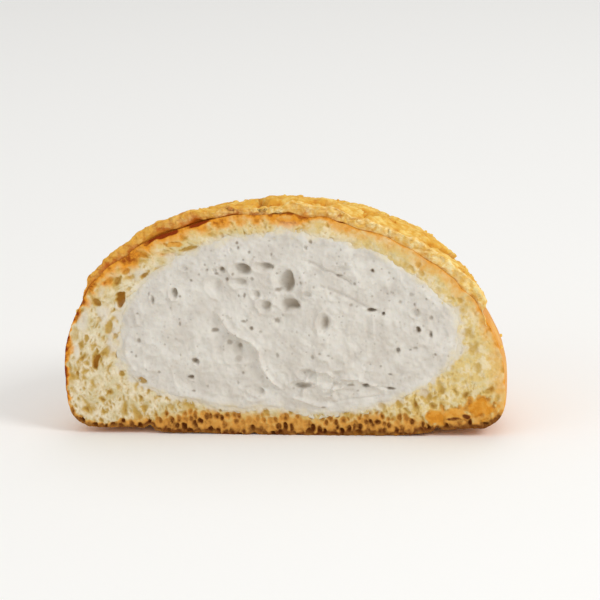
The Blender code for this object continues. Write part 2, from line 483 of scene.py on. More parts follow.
def makeFoodGrain():
    outputs = dict.fromkeys(("Mask", "Height", "Spots"), "Float")
    group, given, out = newGroup("foodGrain", "ShaderNodeTree", {"Size": 0.001}, outputs)
    spots = {"Vector": wire(group, "ShaderNodeTexCoord", output="Object"), "Scale": 1.0 / given("Size")}
    cloud = wire(group, "ShaderNodeTexNoise", {**spots, "Detail": 3.0, "Roughness": 0.6})
    cells = wire(group, "ShaderNodeTexVoronoi", spots, "Distance", feature="F1")
    plug(out["Mask"], ramp(cloud, 0.35, 0.65))
    plug(out["Height"], cloud + cells * -0.4)
    plug(out["Spots"], ramp(cells, 0.12, 0.26, 1.0, 0.0))
    return group


ovenTone = makeOvenTone()
foodGrain = makeFoodGrain()
softInside = {"Subsurface Scale": 0.0008, "Subsurface Radius": (1.0, 0.7, 0.45)}


def newMaterial(name, finish):
    material = bpy.data.materials.new(name)
    material.use_nodes = True
    shader = material.node_tree.nodes["Principled BSDF"].inputs
    plug(shader["Roughness"], finish["roughness"])
    plug(shader["Specular IOR Level"], finish["specular"])
    return material, material.node_tree, shader


def painted(tree, *names):
    return [wire(tree, "ShaderNodeAttribute", None, "Fac", attribute_name=name) for name in names]


def foodGrains(tree, finish):
    return [useGroup(tree, foodGrain, {"Size": size}) for size in finish["grains"]]


def baked(bake, pale, golden, brown):
    values = {"Bake": bake, "Pale": pale, "Golden": golden, "Brown": brown}
    return useGroup(bake.tree, ovenTone, values)("Color")


def toned(colours):
    return [tone(*colour) for colour in colours.values()]


def finishFood(shader, finish, colour, height):
    # colour, a little light inside the food, and a fine relief
    plug(shader["Base Color"], colour)
    plug(shader["Subsurface Weight"], finish["soft"])
    for name, value in softInside.items():
        plug(shader[name], value)
    bump = {"Height": height, "Distance": finish["relief"][0], "Strength": finish["relief"][1]}
    plug(shader["Normal"], wire(height.tree, "ShaderNodeBump", bump))


# Each finish: its colours as seen on screen, its grain sizes in metres, how much light goes a little way
# in, and the depth in metres and strength of its relief
crumbFinish = {
    "roughness": 0.8, "specular": 0.15, "soft": 0.15,
    "grains": (0.0034, 0.0012, 0.0006), "relief": (0.00025, 0.6),
}
crumbColours = {
    "wall": (238, 226, 198),
    "shade": (212, 198, 156),
    "warmWall": (232, 205, 134),
    # painted shade: the pores are coloured darker and more ochre the deeper they go
    "poreShade": (199, 164, 88),
    "deep": (168, 114, 38),
    "smear": (224, 215, 199),
}
toastColours = {
    "pale": (238, 188, 92),
    "golden": (235, 158, 46),
    "brown": (138, 50, 0),
}
bandColours = {
    "pale": (218, 190, 116),
    "golden": (214, 154, 70),
    "brown": (108, 54, 12),
}


def makeCrumbMaterial():
    material, tree, shader = newMaterial("softCrumb", crumbFinish)
    pore, toast, band, smear, warm = painted(tree, "pore", "toast", "band", "smear", "warm")
    broad, grain, fine = foodGrains(tree, crumbFinish)
    light, shade, warmWall, poreShade, deep, film = toned(crumbColours)
    wall = blend(broad("Mask"), light, shade)
    wall = blend(warm * ramp(grain("Mask"), 0.0, 1.0, 0.35, 1.0), wall, warmWall)
    rough = grain("Mask") - 0.5
    # painted shade: deeper pores are coloured darker, here and in the orange line and the brown band below
    inside = baked((pore + grain("Mask") * 0.14).held(), wall, poreShade, deep)
    line = baked((toast + rough * 0.26 + pore * 0.3).held(), *toned(toastColours))
    low = baked((band * 0.42 + pore * 0.46 + rough * 0.2).held(), *toned(bandColours))
    colour = blend(ramp(band, 0.0, 0.70), inside, low)
    colour = blend(ramp(toast, 0.0, 0.62), colour, line)
    colour = blend(smear * ramp(pore, 0.15, 0.6, 1.0, 0.1), colour, film)
    finishFood(shader, crumbFinish, colour, fine("Height"))
    return material


skinFinish = {
    "roughness": 0.45, "specular": 0.15, "soft": 0.05,
    "grains": (0.007, 0.0011), "relief": (0.00018, 0.5),
}
skinColours = {
    "pale": (242, 190, 92),
    "golden": (222, 144, 34),
    "brown": (144, 62, 2),
}


def makeSkinMaterial():
    material, tree, shader = newMaterial("browned skin", skinFinish)
    bake, = painted(tree, "toast")
    grain, fine = foodGrains(tree, skinFinish)
    bake = (bake + (grain("Mask") - 0.5) * 0.12 + fine("Spots") * 0.08).held()
    plug(shader["Roughness"], ramp(fine("Mask"), 0.0, 1.0, 0.42, 0.60))
    finishFood(shader, skinFinish, baked(bake, *toned(skinColours)), fine("Height"))
    return material


streuselFinish = {
    "roughness": 0.75, "specular": 0.2, "soft": 0.12,
    "grains": (0.0045, 0.0011, 0.0005), "relief": (0.00026, 0.5),
}
streuselColours = {
    "inside": (255, 240, 188),
    "insideWarm": (244, 202, 112),
    "pale": (245, 215, 126),
    "golden": (227, 171, 62),
    "brown": (192, 100, 14),
}


def makeStreuselMaterial():
    material, tree, shader = newMaterial("baked streusel", streuselFinish)
    bake, inner, pitShade = painted(tree, "bake", "inner", "pitShade")
    broad, grain, fine = foodGrains(tree, streuselFinish)
    light, warm, *outside = toned(streuselColours)
    bake = bake + (broad("Mask") - 0.5) * 0.30 + (grain("Mask") - 0.5) * 0.16
    # painted shade: holes and the low places between the grains are coloured browner
    bake = (bake + pitShade * 0.45 + fine("Spots") * 0.05).held()
    colour = blend(inner, baked(bake, *outside), blend(grain("Mask"), light, warm))
    finishFood(shader, streuselFinish, colour, grain("Height"))
    return material


creamFinish = {
    "roughness": 0.5, "specular": 0.5, "soft": 0.15,
    "grains": (0.005, 0.0016, 0.0007), "relief": (0.00022, 0.6),
}
creamColours = {
    "light": (224, 219, 209),
    "dark": (210, 203, 192),
    # painted shade: the colour deep in the pockets, also used a little in the grain's tiny dimples
    "shadedPocket": (150, 135, 114),
    # painted shade: the colour inside the air holes
    "shadedAirHole": (142, 126, 106),
    "thin": (228, 213, 176),   # crumb that shows through the thin edge
}


def makeCreamMaterial():
    material, tree, shader = newMaterial("whipped cream", creamFinish)
    shadedPocket, shadedAirHole, thin = painted(tree, "shadedPocket", "shadedAirHole", "thin")
    broad, grain, fine = foodGrains(tree, creamFinish)
    light, dark, hollow, hole, edge = toned(creamColours)
    # painted shade: the grain's tiny dimples are tinted a little towards the pocket colour, and the pockets
    # darker the deeper they are
    colour = blend(grain("Spots") * 0.16, blend(broad("Mask"), light, dark), hollow)
    colour = blend(ramp(shadedPocket, 0.15, 1.0), colour, hollow)
    # painted shade inside the air holes
    colour = blend(shadedAirHole, colour, hole)
    colour = blend(thin * ramp(grain("Mask"), 0.0, 1.0, 0.45, 1.0), colour, edge)
    finishFood(shader, creamFinish, colour, fine("Height") + grain("Height"))
    return material


crumbMaterial = makeCrumbMaterial()
skinMaterial = makeSkinMaterial()
streuselMaterial = makeStreuselMaterial()
creamMaterial = makeCreamMaterial()
print("bun: finishes ready")


# Geometry node helpers

def named(tree, name, kind="FLOAT"):
    return wire(tree, "GeometryNodeInputNamedAttribute", {"Name": name}, "Attribute", data_type=kind)


def vectorMaths(operation, first, second):
    key = "Scale" if operation == "SCALE" else 1
    return wire(first.tree, "ShaderNodeVectorMath", {0: first, key: second}, operation=operation)


def warped(place, scale, detail, amount):
    # a random shift, and the noise that it comes from
    noise = addNode(place.tree, "ShaderNodeTexNoise", {"Vector": place, "Scale": scale, "Detail": detail})
    shift = vectorMaths("SUBTRACT", Wire(noise.outputs["Color"]), (0.5, 0.5, 0.5))
    return vectorMaths("SCALE", shift, amount), Wire(noise.outputs[0])


def cellsAt(place, size, seed, space="3D"):
    # distance to the walls of the cells, one random number for each cell, and distance to its middle
    shift = vectorMaths("ADD", place, (seed * 0.13, seed * 0.29, 0.0))
    kind, values = "ShaderNodeTexVoronoi", {"Vector": shift, "Scale": 1.0 / size}
    walls = wire(place.tree, kind, values, "Distance", voronoi_dimensions=space, feature="DISTANCE_TO_EDGE")
    own = addNode(place.tree, kind, values, voronoi_dimensions=space, feature="F1")
    chance = wire(place.tree, "ShaderNodeSeparateXYZ", {"Vector": Wire(own.outputs["Color"])})
    return walls, chance, Wire(own.outputs["Distance"])


def storeMark(geometry, name, value):
    values = {"Geometry": geometry, "Name": name, "Value": value}
    return wire(geometry.tree, "GeometryNodeStoreNamedAttribute", values, data_type="FLOAT", domain="POINT")


def changed(kind, geometry, **values):
    # geometry after one node that changes it
    return wire(geometry.tree, "GeometryNode" + kind, {"Geometry": geometry, **values})


def runNodes(thing, tree, values):
    # runs a node tree once with its inputs set, and keeps the result as a plain mesh
    modifier = thing.modifiers.new(tree.name, "NODES")
    modifier.node_group = tree
    for item in tree.interface.items_tree:
        if item.item_type == "SOCKET" and item.in_out == "INPUT" and item.name in values:
            modifier[item.identifier] = values[item.name]
    bpy.context.view_layer.update()
    graph = bpy.context.evaluated_depsgraph_get()
    made = bpy.data.meshes.new_from_object(thing.evaluated_get(graph), depsgraph=graph)
    thing.modifiers.remove(modifier)
    old = thing.data
    thing.data = made
    made.name = thing.name
    bpy.data.meshes.remove(old)
    return thing


# The bread: crumb on the cut, browned skin outside, and the hollow for the cream

largePores = [  # x, z, half width, half height, slant in degrees, depth, in mm
    (-35.9, 31.5, 1.0, 2.3, -22, 1.3),
    (-41.5, 30.7, 0.9, 0.9, 0, 0.9),
    (-36.6, 35.4, 0.9, 2.3, -48, 0.9),
    (-42.3, 17.0, 0.9, 1.9, -18, 1.3),
    (-39.2, 24.7, 0.8, 1.7, -8, 0.6),
    (-37.7, 23.0, 0.7, 0.8, 0, 0.6),
    (-36.7, 14.1, 0.7, 0.8, 0, 0.7),
    (-47.1, 14.2, 0.5, 0.7, 0, 0.8),
    (-30.3, 36.7, 1.7, 0.8, 30, 0.9),
    (-34.2, 37.6, 1.2, 0.7, 25, 0.7),
    (-32.0, 12.5, 1.0, 0.8, 0, 0.7),
    (-39.8, 19.2, 1.0, 1.7, -14, 0.45),
    (-44.5, 22.0, 0.6, 1.2, -10, 0.5),
    (-46.0, 18.6, 0.5, 1.0, -8, 0.6),
    (-19.6, 42.9, 2.4, 0.45, 14, 0.7),
    (43.5, 20.0, 1.4, 1.9, 15, 0.36),
    (42.1, 23.5, 1.6, 1.1, 0, 0.36),
    (44.2, 15.6, 1.0, 1.5, 10, 0.30),
    (35.7, 12.0, 1.0, 0.8, 0, 0.36),
    (26.3, 7.3, 1.0, 1.2, 20, 0.6),
    (22.3, 7.0, 0.8, 0.9, 0, 0.45),
    (32.2, 10.1, 0.9, 0.8, 0, 0.40),
    (32.5, 37.0, 1.1, 0.7, -38, 0.34),
]
smearPatches = [  # x, z, half width, half height, in mm
    (-45.3, 27.4, 1.6, 3.6),
    (-43.4, 31.6, 1.4, 1.6),
    (-38.2, 37.2, 2.6, 1.0),
    (-40.2, 33.4, 1.0, 1.6),
    (-40.0, 28.0, 1.3, 3.2),
    (-38.9, 21.2, 0.9, 2.4),
    (-36.4, 17.0, 1.4, 2.4),
    (-33.5, 12.6, 1.4, 1.2),
    (-30.8, 37.4, 2.4, 1.0),
    (-46.8, 19.0, 0.6, 2.0),
]
crustPatches = [  # x, z, half width, half height, in mm, and how brown
    (34.0, 4.4, 2.0, 1.9, 1.0),
    (44.6, 6.4, 2.9, 2.0, 1.0),
    (38.6, 4.8, 2.6, 1.1, 0.66),
    (41.2, 4.7, 0.9, 0.6, 1.12),
    (39.0, 4.0, 1.6, 0.35, 1.02),
    (49.2, 11.0, 1.0, 5.0, 0.34),
    (40.4, 33.2, 1.7, 1.7, 0.30),
    (34.6, 38.0, 2.6, 1.3, 0.34),
    (-22.8, 43.8, 2.2, 0.5, 0.70),
]
cutSlits = [  # x and gap in mm
    (-33.5, 0), (-31, 0.3), (-28.5, 0.8), (-26, 1.3), (-22.5, 1.1), (-20.8, 0.3), (-19.3, 0.6), (-16.5, 1.2),
    (-14.4, 0.7), (-12.5, 0.15), (-9, 0.3), (-6, 0), (-1.5, 0), (0.5, 0.5), (4.5, 0.6), (6.2, 0), (13.5, 0),
    (15.5, 0.3), (18, 0),
]
baseNotches = [(-31.0, 1.1, 1.0), (-6.9, 0.6, 0.8), (34.6, 0.9, 0.9)]   # x, height, half width, in mm
breadNoise = {   # size of a bump in metres, and seed
    "skinWide": (0.0065, 21), "skinFine": (0.0018, 22), "base": (0.006, 23), "holes": (0.0012, 24),
    "holesFine": (0.0006, 25), "wave": (0.0038, 25), "slow": (0.0040, 25), "middle": (0.0018, 26),
    "fine": (0.0009, 27),
}


def baseLift(x, y):
    # the underside rises a little at its ends and has a few notches at the cut
    lift = 0.0013 * smoothStep((-x - 0.026) / 0.010) + 0.0015 * smoothStep((x - 0.026) / 0.014)
    for place, height, half in baseNotches:
        notch = np.exp(-(((x - place / 1000) / (half / 1000)) ** 2))
        lift = lift + height / 1000 * notch * np.exp(-np.maximum(y, 0) / 0.004)
    uneven = 0.00022 * (1 + noiseAt(np.stack([x, y, 0 * x], axis=-1), *breadNoise["base"]))
    return lift + uneven * smoothStep((np.hypot(x, y) - 0.01) / 0.01)


def frontWave(points):
    # skin and streusel rise and fall together along the cut
    return 0.00050 * noiseAt(points, *breadNoise["wave"]) * np.exp(-((points[..., 1] / 0.003) ** 2))


def skinPoints(rays):
    turns, falls = turnAndFall(rays)
    under = smoothStep((rimAngle(turns) - falls) / math.radians(9))
    onForm = surfaceAt(rays, breadForm)
    rough = 0.00016 * noiseAt(onForm, *breadNoise["skinWide"])
    rough += 0.00007 * noiseAt(onForm, *breadNoise["skinFine"])
    points = onForm + rays * ((bread["skinLift"] + frontWave(onForm)) * under + rough)[..., None]
    points[..., 2] = np.maximum(points[..., 2], baseLift(points[..., 0], points[..., 1]))
    return points


def poreHoles(x, z):
    depth = np.zeros(x.shape)
    spots = np.stack([x, 0 * x, z], axis=-1)
    bend = noiseAt(spots, *breadNoise["holes"]) + 0.5 * noiseAt(spots, *breadNoise["holesFine"])
    for placeX, placeZ, halfWidth, halfHeight, slant, deep in largePores:
        lean = math.radians(slant)
        across = x - placeX / 1000
        up = z - placeZ / 1000
        side = (across * math.cos(lean) + up * math.sin(lean)) / (halfWidth / 1000)
        along = (-across * math.sin(lean) + up * math.cos(lean)) / (halfHeight / 1000)
        reach = np.hypot(side, along) + 0.42 * bend
        depth = np.maximum(depth, 0.8 * deep / 1000 * smoothStep((1.2 - reach) / 0.7))
    return depth


def patchMask(x, z, place, bend):
    # a soft oval patch on the cut, with an uneven edge
    placeX, placeZ, halfWidth, halfHeight = (part / 1000 for part in place)
    reach = np.hypot((x - placeX) / halfWidth, (z - placeZ) / halfHeight)
    return smoothStep((1.55 + 0.4 * bend - reach) / 1.3)


def makePoreNodes():
    # small pores: concave cells with thin walls, in three sizes, and round ones along the base
    tree, given, out = newGroup(
        "crumbPores", "GeometryNodeTree",
        {"Geometry": "Geometry", "Coarse Size": 0.0030, "Middle Size": 0.0018, "Fine Size": 0.0010,
         "Base Size": 0.0013, "Pore Depth": 0.0010, "Crumb": "Material", "Skin": "Material"},
        {"Geometry": "Geometry"},
    )
    place, along = named(tree, "flatPlace", "FLOAT_VECTOR"), named(tree, "peelPlace", "FLOAT_VECTOR")
    marks = ("peel", "cut", "hole", "airy", "sealed", "band", "uneven")
    peel, cut, hole, airy, sealed, band, uneven = (named(tree, name) for name in marks)
    shift, _ = warped(place, 520.0, 2.0, 0.0015)

    def cellPits(bent, size, seed, least, most, deep, wallLow, wallHigh):
        # least and most share of open cells, how deep they are, and how wide their walls are
        walls, chance, _ = cellsAt(bent, given(size), seed)
        openness = ramp(airy * (most - least) + least - chance, -0.05, 0.6)
        return ramp(walls, wallLow, wallHigh) * openness * deep

    fields = []
    for source, seed in ((place, 1.0), (along, 4.0)):
        bent = vectorMaths("ADD", source, shift)
        deepest = cellPits(bent, "Coarse Size", seed, -0.1, 0.46, 1.05, -0.02, 0.46)
        deepest = deepest.orMore(cellPits(bent, "Middle Size", seed + 1, 0.05, 0.85, 0.78, -0.02, 0.46))
        fields.append(deepest.orMore(cellPits(bent, "Fine Size", seed + 2, 0.3, 1.3, 0.34, 0.0, 0.44)))
    bent = vectorMaths("ADD", place, vectorMaths("SCALE", shift, 0.9))
    _, chance, reach = cellsAt(bent, given("Base Size"), 8.0, "2D")
    packed = ramp(reach, 0.20, 0.66, 1.0, 0.0) * ramp(chance, 0.1, 0.9, 1.0, 0.35)
    packedShare = ramp(band, 0.1, 0.6)
    mixed = fields[0] * (1.0 - peel) + fields[1] * peel
    mixed = (mixed * (1.0 - packedShare) + packed * packedShare) * (1.0 - sealed) * given("Pore Depth")
    depth = mixed.orMore(hole) * cut
    push = wire(tree, "ShaderNodeCombineXYZ", {"Y": depth + uneven})
    stored = storeMark(given("Geometry"), "pore", depth / given("Pore Depth"))
    real = changed("RealizeInstances", changed("SetPosition", stored, Offset=push))
    skin = changed("SetMaterial", real, Material=given("Skin"))
    crumb = changed("SetMaterial", skin, Selection=named(tree, "kind", "INT"), Material=given("Crumb"))
    plug(out["Geometry"], crumb)
    return tree


breadLook = {   # widths and heights in metres, strengths from 0 to 1
    "lineWidth": 0.0013,      # the orange line under the skin, low at the sides
    "lineCrown": 0.0025,      # and how much wider it is at the top
    "lineStrength": 0.74,
    "glow": (0.36, 0.0056),   # a paler glow inside the line: strength and width
    "bandTop": 0.0073,        # where the brown band along the base ends
    "bandFade": 0.0056,
    "bottomLine": 0.00170,    # the dark line along the base
    "smearWidth": 0.0021,     # cream spread past its edge
    "smearStrength": 0.9,
}


def breadMarks(points, outer):
    # what is painted on the bread: bake, pores, smears and where the small pores are
    x, y, z = points.T
    cut = (np.abs(y) < 1e-9).astype(float)
    slow, middle, fine = (noiseAt(points, *breadNoise[name]) for name in ("slow", "middle", "fine"))
    near = nearestOn(outer)
    depth = np.full(len(points), 0.05)   # below the outline
    onCut = np.flatnonzero(cut)
    depth[onCut] = [near(x[k], z[k]) for k in onCut]
    # the orange line under the skin: strong at the top left, faint on the right
    crown = smoothStep((z - 0.025) / 0.012)
    right = smoothStep((x - 0.008) / 0.024)
    upper = smoothStep((z - 0.003) / 0.006)
    rightSide = smoothStep((x - 0.030) / 0.010) * (1 - crown)
    rough = (1 - crown) * (0.45 * middle + 0.30 * fine)
    width = breadLook["lineWidth"] + breadLook["lineCrown"] * crown * (1 - 0.60 * right)
    width = width + 0.0009 * crown * smoothStep((-x - 0.008) / 0.010)
    width = width * (1 + 0.55 * slow + 0.35 * middle + 0.2 * fine + rough)
    share = np.clip(depth / np.maximum(width, 0.0003), 0, 1)
    strength = breadLook["lineStrength"] - 0.08 * crown - 0.16 * crown * right - 0.32 * rightSide
    strength = strength + 0.10 * smoothStep((-x - 0.036) / 0.006)
    strength = strength * (1 + 0.30 * middle + 0.15 * fine + 0.5 * rough) * (0.25 + 0.75 * upper)
    glow = breadLook["glow"][0] * smoothStep(1 - depth / (breadLook["glow"][1] + 0.0018 * slow))
    glow = glow * np.maximum(crown, 0.9 * rightSide * upper)
    toast = np.maximum(strength * (1 - share) ** 1.1, glow * (1 + 0.4 * middle))
    slit = 1.25 * np.minimum(np.interp(x * 1000, *np.array(cutSlits).T) * crown, 0.9)
    toast = np.maximum(toast, slit * smoothStep((0.00105 + 0.0004 * middle - depth) / 0.0006))
    # the base: a brown band with packed pores, and a dark line along its bottom
    bottom = smoothStep((breadLook["bottomLine"] + 0.00060 * middle + 0.0003 * fine - depth) / 0.0015)
    bottom = bottom * (1 - smoothStep((z - 0.0035) / 0.004))
    top = breadLook["bandTop"] + 0.0012 * slow + 0.0009 * middle + 0.0004 * fine
    top = top - 0.0026 * smoothStep((-x - 0.026) / 0.012) - 0.0010 * smoothStep((x - 0.026) / 0.01)
    band = smoothStep((top - z) / breadLook["bandFade"])
    band = band * (1 - 0.35 * smoothStep((-x - 0.030) / 0.012))
    band = np.maximum(band, 0.9 * smoothStep(bottom * 2)) + 1.35 * bottom
    sealed = np.maximum(0.30 * smoothStep(1.2 - 2.2 * share), 0.42 * right * smoothStep((z - 0.010) / 0.006))
    for *place, brown in crustPatches:
        mask = np.minimum(1.7 * patchMask(x, z, place, middle + 0.7 * fine), 1)
        mask = mask * (1 + 0.14 * fine + 0.12 * middle)
        within = np.clip(mask, 0, 1)
        toast = np.maximum(toast, 0.29 * mask) if brown <= 1 else toast * (1 - within)
        if brown == 1:   # bare skin that folds in under the crumb
            bare = smoothStep(2.4 * patchMask(x, z, place, 0.8 * middle + 0.5 * fine) - 0.4)
            toast = np.maximum(toast, 0.44 * bare)
            band = np.maximum(band, (2.0 + 0.30 * fine + 0.25 * middle) * bare)
        band = np.maximum(band, (2.6 * brown - 0.7) * mask + 0.25 * fine * within)
        sealed = np.maximum(sealed, 0.95 * within)
    # outside: pale golden below the streusel, browner between its plates, low down and underneath
    away = points - core
    turns, falls = turnAndFall(away / np.maximum(np.linalg.norm(away, axis=1), 1e-9)[:, None])
    covered = smoothStep((rimAngle(turns) - falls) / math.radians(16))
    skinToast = 0.32 + 0.50 * covered + 0.16 * smoothStep((0.009 - z) / 0.008) + 0.10 * slow
    skinToast = skinToast + 0.40 * smoothStep((0.0013 - z) / 0.001)
    toast = np.where(cut > 0, toast, skinToast)
    fromCream = pastCream(points)
    behind = 0.0018 * smoothStep((-0.0010 - fromCream) / 0.0016)   # keeps the crumb out of the cream
    left = smoothStep((-0.030 - x) / 0.006) * smoothStep((z - 0.012) / 0.005)
    reach = (breadLook["smearWidth"] + 0.0010 * left) * (1 + 0.7 * middle + 0.5 * slow + 0.5 * fine)
    smear = breadLook["smearStrength"] * smoothStep((reach - fromCream) / breadLook["smearWidth"])
    smear = smear * (1 - 0.35 * crown)
    for patch in smearPatches:
        smear = np.maximum(smear, 0.75 * patchMask(x, z, patch, middle + 0.8 * fine))
    smear = smear * cut * (1 - 0.8 * np.clip(band, 0, 1))
    smear = smear * smoothStep((depth - 0.0005) / (0.001 + 0.004 * crown))
    airy = 0.55 + 0.25 * smoothStep((-x - 0.02) / 0.02) + 0.12 * right * smoothStep((z - 0.008) / 0.01)
    airy = airy + 0.05 * crown + 0.25 * smoothStep((0.015 - z) / 0.006) + 0.15 * slow
    angle = np.mod(np.arctan2(z - core[2], x) + math.pi / 2, 2 * math.pi)
    return {
        "cut": cut,
        "toast": toast,
        "band": band * cut,
        "hole": poreHoles(x, z) * cut,
        "smear": smear,
        "warm": np.maximum(0.9 * right, 0.9 * crown * smoothStep(1.2 - depth / 0.006)),
        "peel": smoothStep((z - 0.010) / 0.006) * (1 - right),
        "airy": np.clip(airy, 0, 1),
        "sealed": np.clip(np.maximum(sealed, 0.75 * smear), 0, 1),
        "uneven": ((0.00014 * slow + 0.00008 * middle) * smoothStep(depth / 0.001) + behind) * cut,
        "flatPlace": np.stack([x, 0.74 * z, 0 * x], axis=-1),
        "peelPlace": np.stack([angle * 0.040 / 1.6, depth, 0 * x], axis=-1),
    }


def makeBread():
    body = newBody()
    around = evenAngles(breadForm, bread["rimPoints"])
    rim = addPoints(body, skinPoints(raysFromCut(around, 0.0)))
    # skin: finer near the cut
    steps = np.concatenate([[0.35, 0.9, 1.6], np.arange(2.5, 78.0, 1000 * bread["skinCell"])])
    steps = steps / 1000 / bunRadius
    steps = steps[steps < math.pi / 2 - 0.01]
    cells = np.where(steps > 0.03, bread["skinCell"], np.where(steps > 0.01, 0.00055, 0.00038))
    addDome(body, rim, around, zip(steps, 0.30 / cells), skinPoints, 0)
    # hollow
    around = evenAngles(creamForm, bread["hollowPoints"])
    edge = addPoints(body, surfaceAt(raysFromCut(around, 0.0), creamForm, -bread["lip"]))
    rings = [(back, 110) for back in np.concatenate([[0.05], np.linspace(0.11, 1.5, 20)])]
    addDome(body, edge, around, rings, lambda rays: surfaceAt(rays, creamForm, 0.0004), 1)
    points = np.concatenate(body["points"])
    outer, inner = points[rim][:, [0, 2]], points[edge][:, [0, 2]]
    inOuter, inInner = withinOutline(outer), withinOutline(inner)
    flatSheet(body, [rim, edge], bread["faceCell"], lambda spots: inOuter(spots) & ~inInner(spots), 1)
    thing = makeObject("bread_soft", body, breadMarks(np.concatenate(body["points"]), outer))
    return runNodes(thing, makePoreNodes(), {"Crumb": crumbMaterial, "Skin": skinMaterial})


breadPiece = makeBread()
print("bun: bread has", len(breadPiece.data.polygons), "faces")


# The cream: a wet face with pockets, folds and knife marks

pockets = [  # x, z, half width, half height, depth, in mm, and which way its steep wall faces, in degrees
    (-8.0, 38.2, 2.2, 1.5, 2.1, 20),
    (-2.4, 38.8, 2.2, 1.1, 1.8, 10),
    (1.7, 35.7, 2.6, 3.2, 2.2, -15),
    (2.3, 30.4, 2.7, 2.0, 2.0, -40),
    (-3.0, 29.6, 1.7, 1.8, 1.5, -10),
    (-8.2, 35.1, 2.2, 1.3, 1.2, 20),
    (-4.9, 32.5, 1.4, 1.1, 1.1, -10),
    (10.4, 26.5, 1.5, 2.5, 1.6, -20),
    (-14.0, 34.1, 1.8, 2.3, 0.8, 10),
    (-10.0, 19.5, 2.7, 2.9, 1.0, 30),
    (-23.5, 32.7, 0.85, 1.4, 1.5, 30),
    (-28.5, 31.2, 0.5, 1.2, 1.1, -10),
    (14.6, 38.3, 2.4, 0.8, 0.7, -60),
    (-12.3, 38.0, 1.0, 0.8, 0.9, 10),
    (6.0, 14.2, 2.0, 1.2, 0.9, 60),
    (12.0, 12.0, 2.2, 1.0, 0.9, 60),
    (30.8, 28.2, 1.0, 1.1, 0.8, 20),
    (6.8, 32.6, 1.2, 0.9, 0.8, -20),
    (-5.8, 10.2, 1.6, 0.9, 0.9, 20),
    (-21.0, 38.5, 1.0, 0.8, 0.5, 20),
    (-19.2, 17.1, 0.7, 0.7, 1.0, 0),
    (-20.7, 13.5, 0.8, 0.5, 0.8, -20),
    (4.1, 11.8, 2.4, 0.9, 1.5, -60),
    (-3.6, 9.7, 2.2, 0.9, 0.5, -30),
    (21.1, 29.0, 0.9, 0.3, 0.9, -60),
    (23.7, 28.3, 0.35, 0.3, 0.7, 0),
    (31.2, 24.7, 0.5, 0.7, 0.9, 0),
    (34.1, 23.4, 0.4, 0.5, 0.6, 0),
    (26.6, 20.0, 0.4, 0.5, 0.6, 0),
    (19.1, 11.8, 0.8, 0.5, 0.8, 0),
    (21.6, 37.8, 0.35, 0.35, 0.6, 0),
    (6.9, 43.0, 0.5, 0.6, 0.9, 0),
    (-13.9, 38.0, 0.5, 0.5, 0.7, 0),
    (-1.0, 26.4, 0.6, 0.5, 0.5, 0),
    (-9.9, 42.6, 0.4, 0.7, 0.5, 0),
    (-11.8, 27.2, 0.7, 0.6, 0.4, 0),
]
folds = [  # corners in mm, height and half width in mm, and how far the ground steps down on its left
    ([(-14.5, 29.0), (-13.5, 27.6), (-11.4, 24.3), (-9.1, 22.6), (-6.5, 21.6), (-4.9, 19.6), (-4.5, 16.0),
      (-2.0, 12.1), (1.4, 9.4)], 0.95, 0.55, 0.60),
    ([(1.4, 9.4), (4.4, 8.4), (8.4, 6.9), (11.5, 6.6)], 0.80, 0.5, 0.0),
    ([(4.5, 8.0), (5.2, 11.2), (6.2, 14.2), (8.2, 15.2), (10.6, 14.9), (12.6, 13.0)], 0.95, 0.42, 0.0),
    ([(11.2, 8.2), (12.0, 11.6), (14.0, 13.4), (17.0, 13.2), (20.0, 12.0), (24.0, 10.4)], 0.80, 0.42, 0.0),
    ([(-33.4, 30.6), (-32.3, 27.5), (-32.0, 25.2)], 0.50, 0.5, 0.0),
    ([(-34.8, 23.6), (-35.6, 19.6), (-34.6, 16.2), (-33.0, 14.2)], 0.65, 0.5, 0.0),
    ([(5.0, 39.0), (6.4, 35.5), (5.4, 32.2)], 0.35, 0.6, 0.0),
    ([(8.5, 27.5), (10.0, 29.4), (13.2, 29.8), (17.0, 28.0), (20.0, 24.6)], 0.28, 0.7, 0.0),
    ([(-15.4, 22.0), (-15.0, 18.4), (-13.4, 16.0)], 0.30, 0.6, 0.0),
    ([(-10.0, 16.8), (-5.6, 17.0)], 0.22, 0.5, 0.0),
    ([(24.0, 22.0), (28.0, 20.6), (33.0, 21.6)], 0.25, 0.6, 0.0),
    ([(-3.4, 27.6), (0.6, 28.4), (4.4, 28.0)], 0.25, 0.5, 0.0),
]
grooves = [  # corners in mm, depth and half width in mm
    ([(6.0, 40.4), (9.3, 39.2), (14.9, 36.3), (18.0, 34.0)], 0.50, 0.35),
    ([(9.0, 35.0), (15.0, 32.2), (20.0, 29.6), (24.2, 28.0)], 0.45, 0.45),
    ([(19.6, 11.6), (22.6, 11.3), (25.6, 10.9)], 0.45, 0.25),
    ([(9.0, 9.3), (13.0, 10.6), (17.0, 10.4)], 0.40, 0.35),
    ([(10.0, 7.6), (15.6, 8.6), (21.6, 9.2), (25.0, 9.4)], 0.30, 0.3),
    ([(-21.0, 9.6), (-12.0, 8.6), (-6.0, 8.8)], 0.20, 0.5),
    ([(-9.0, 11.0), (-4.6, 11.4), (-2.0, 10.2)], 0.40, 0.4),
]
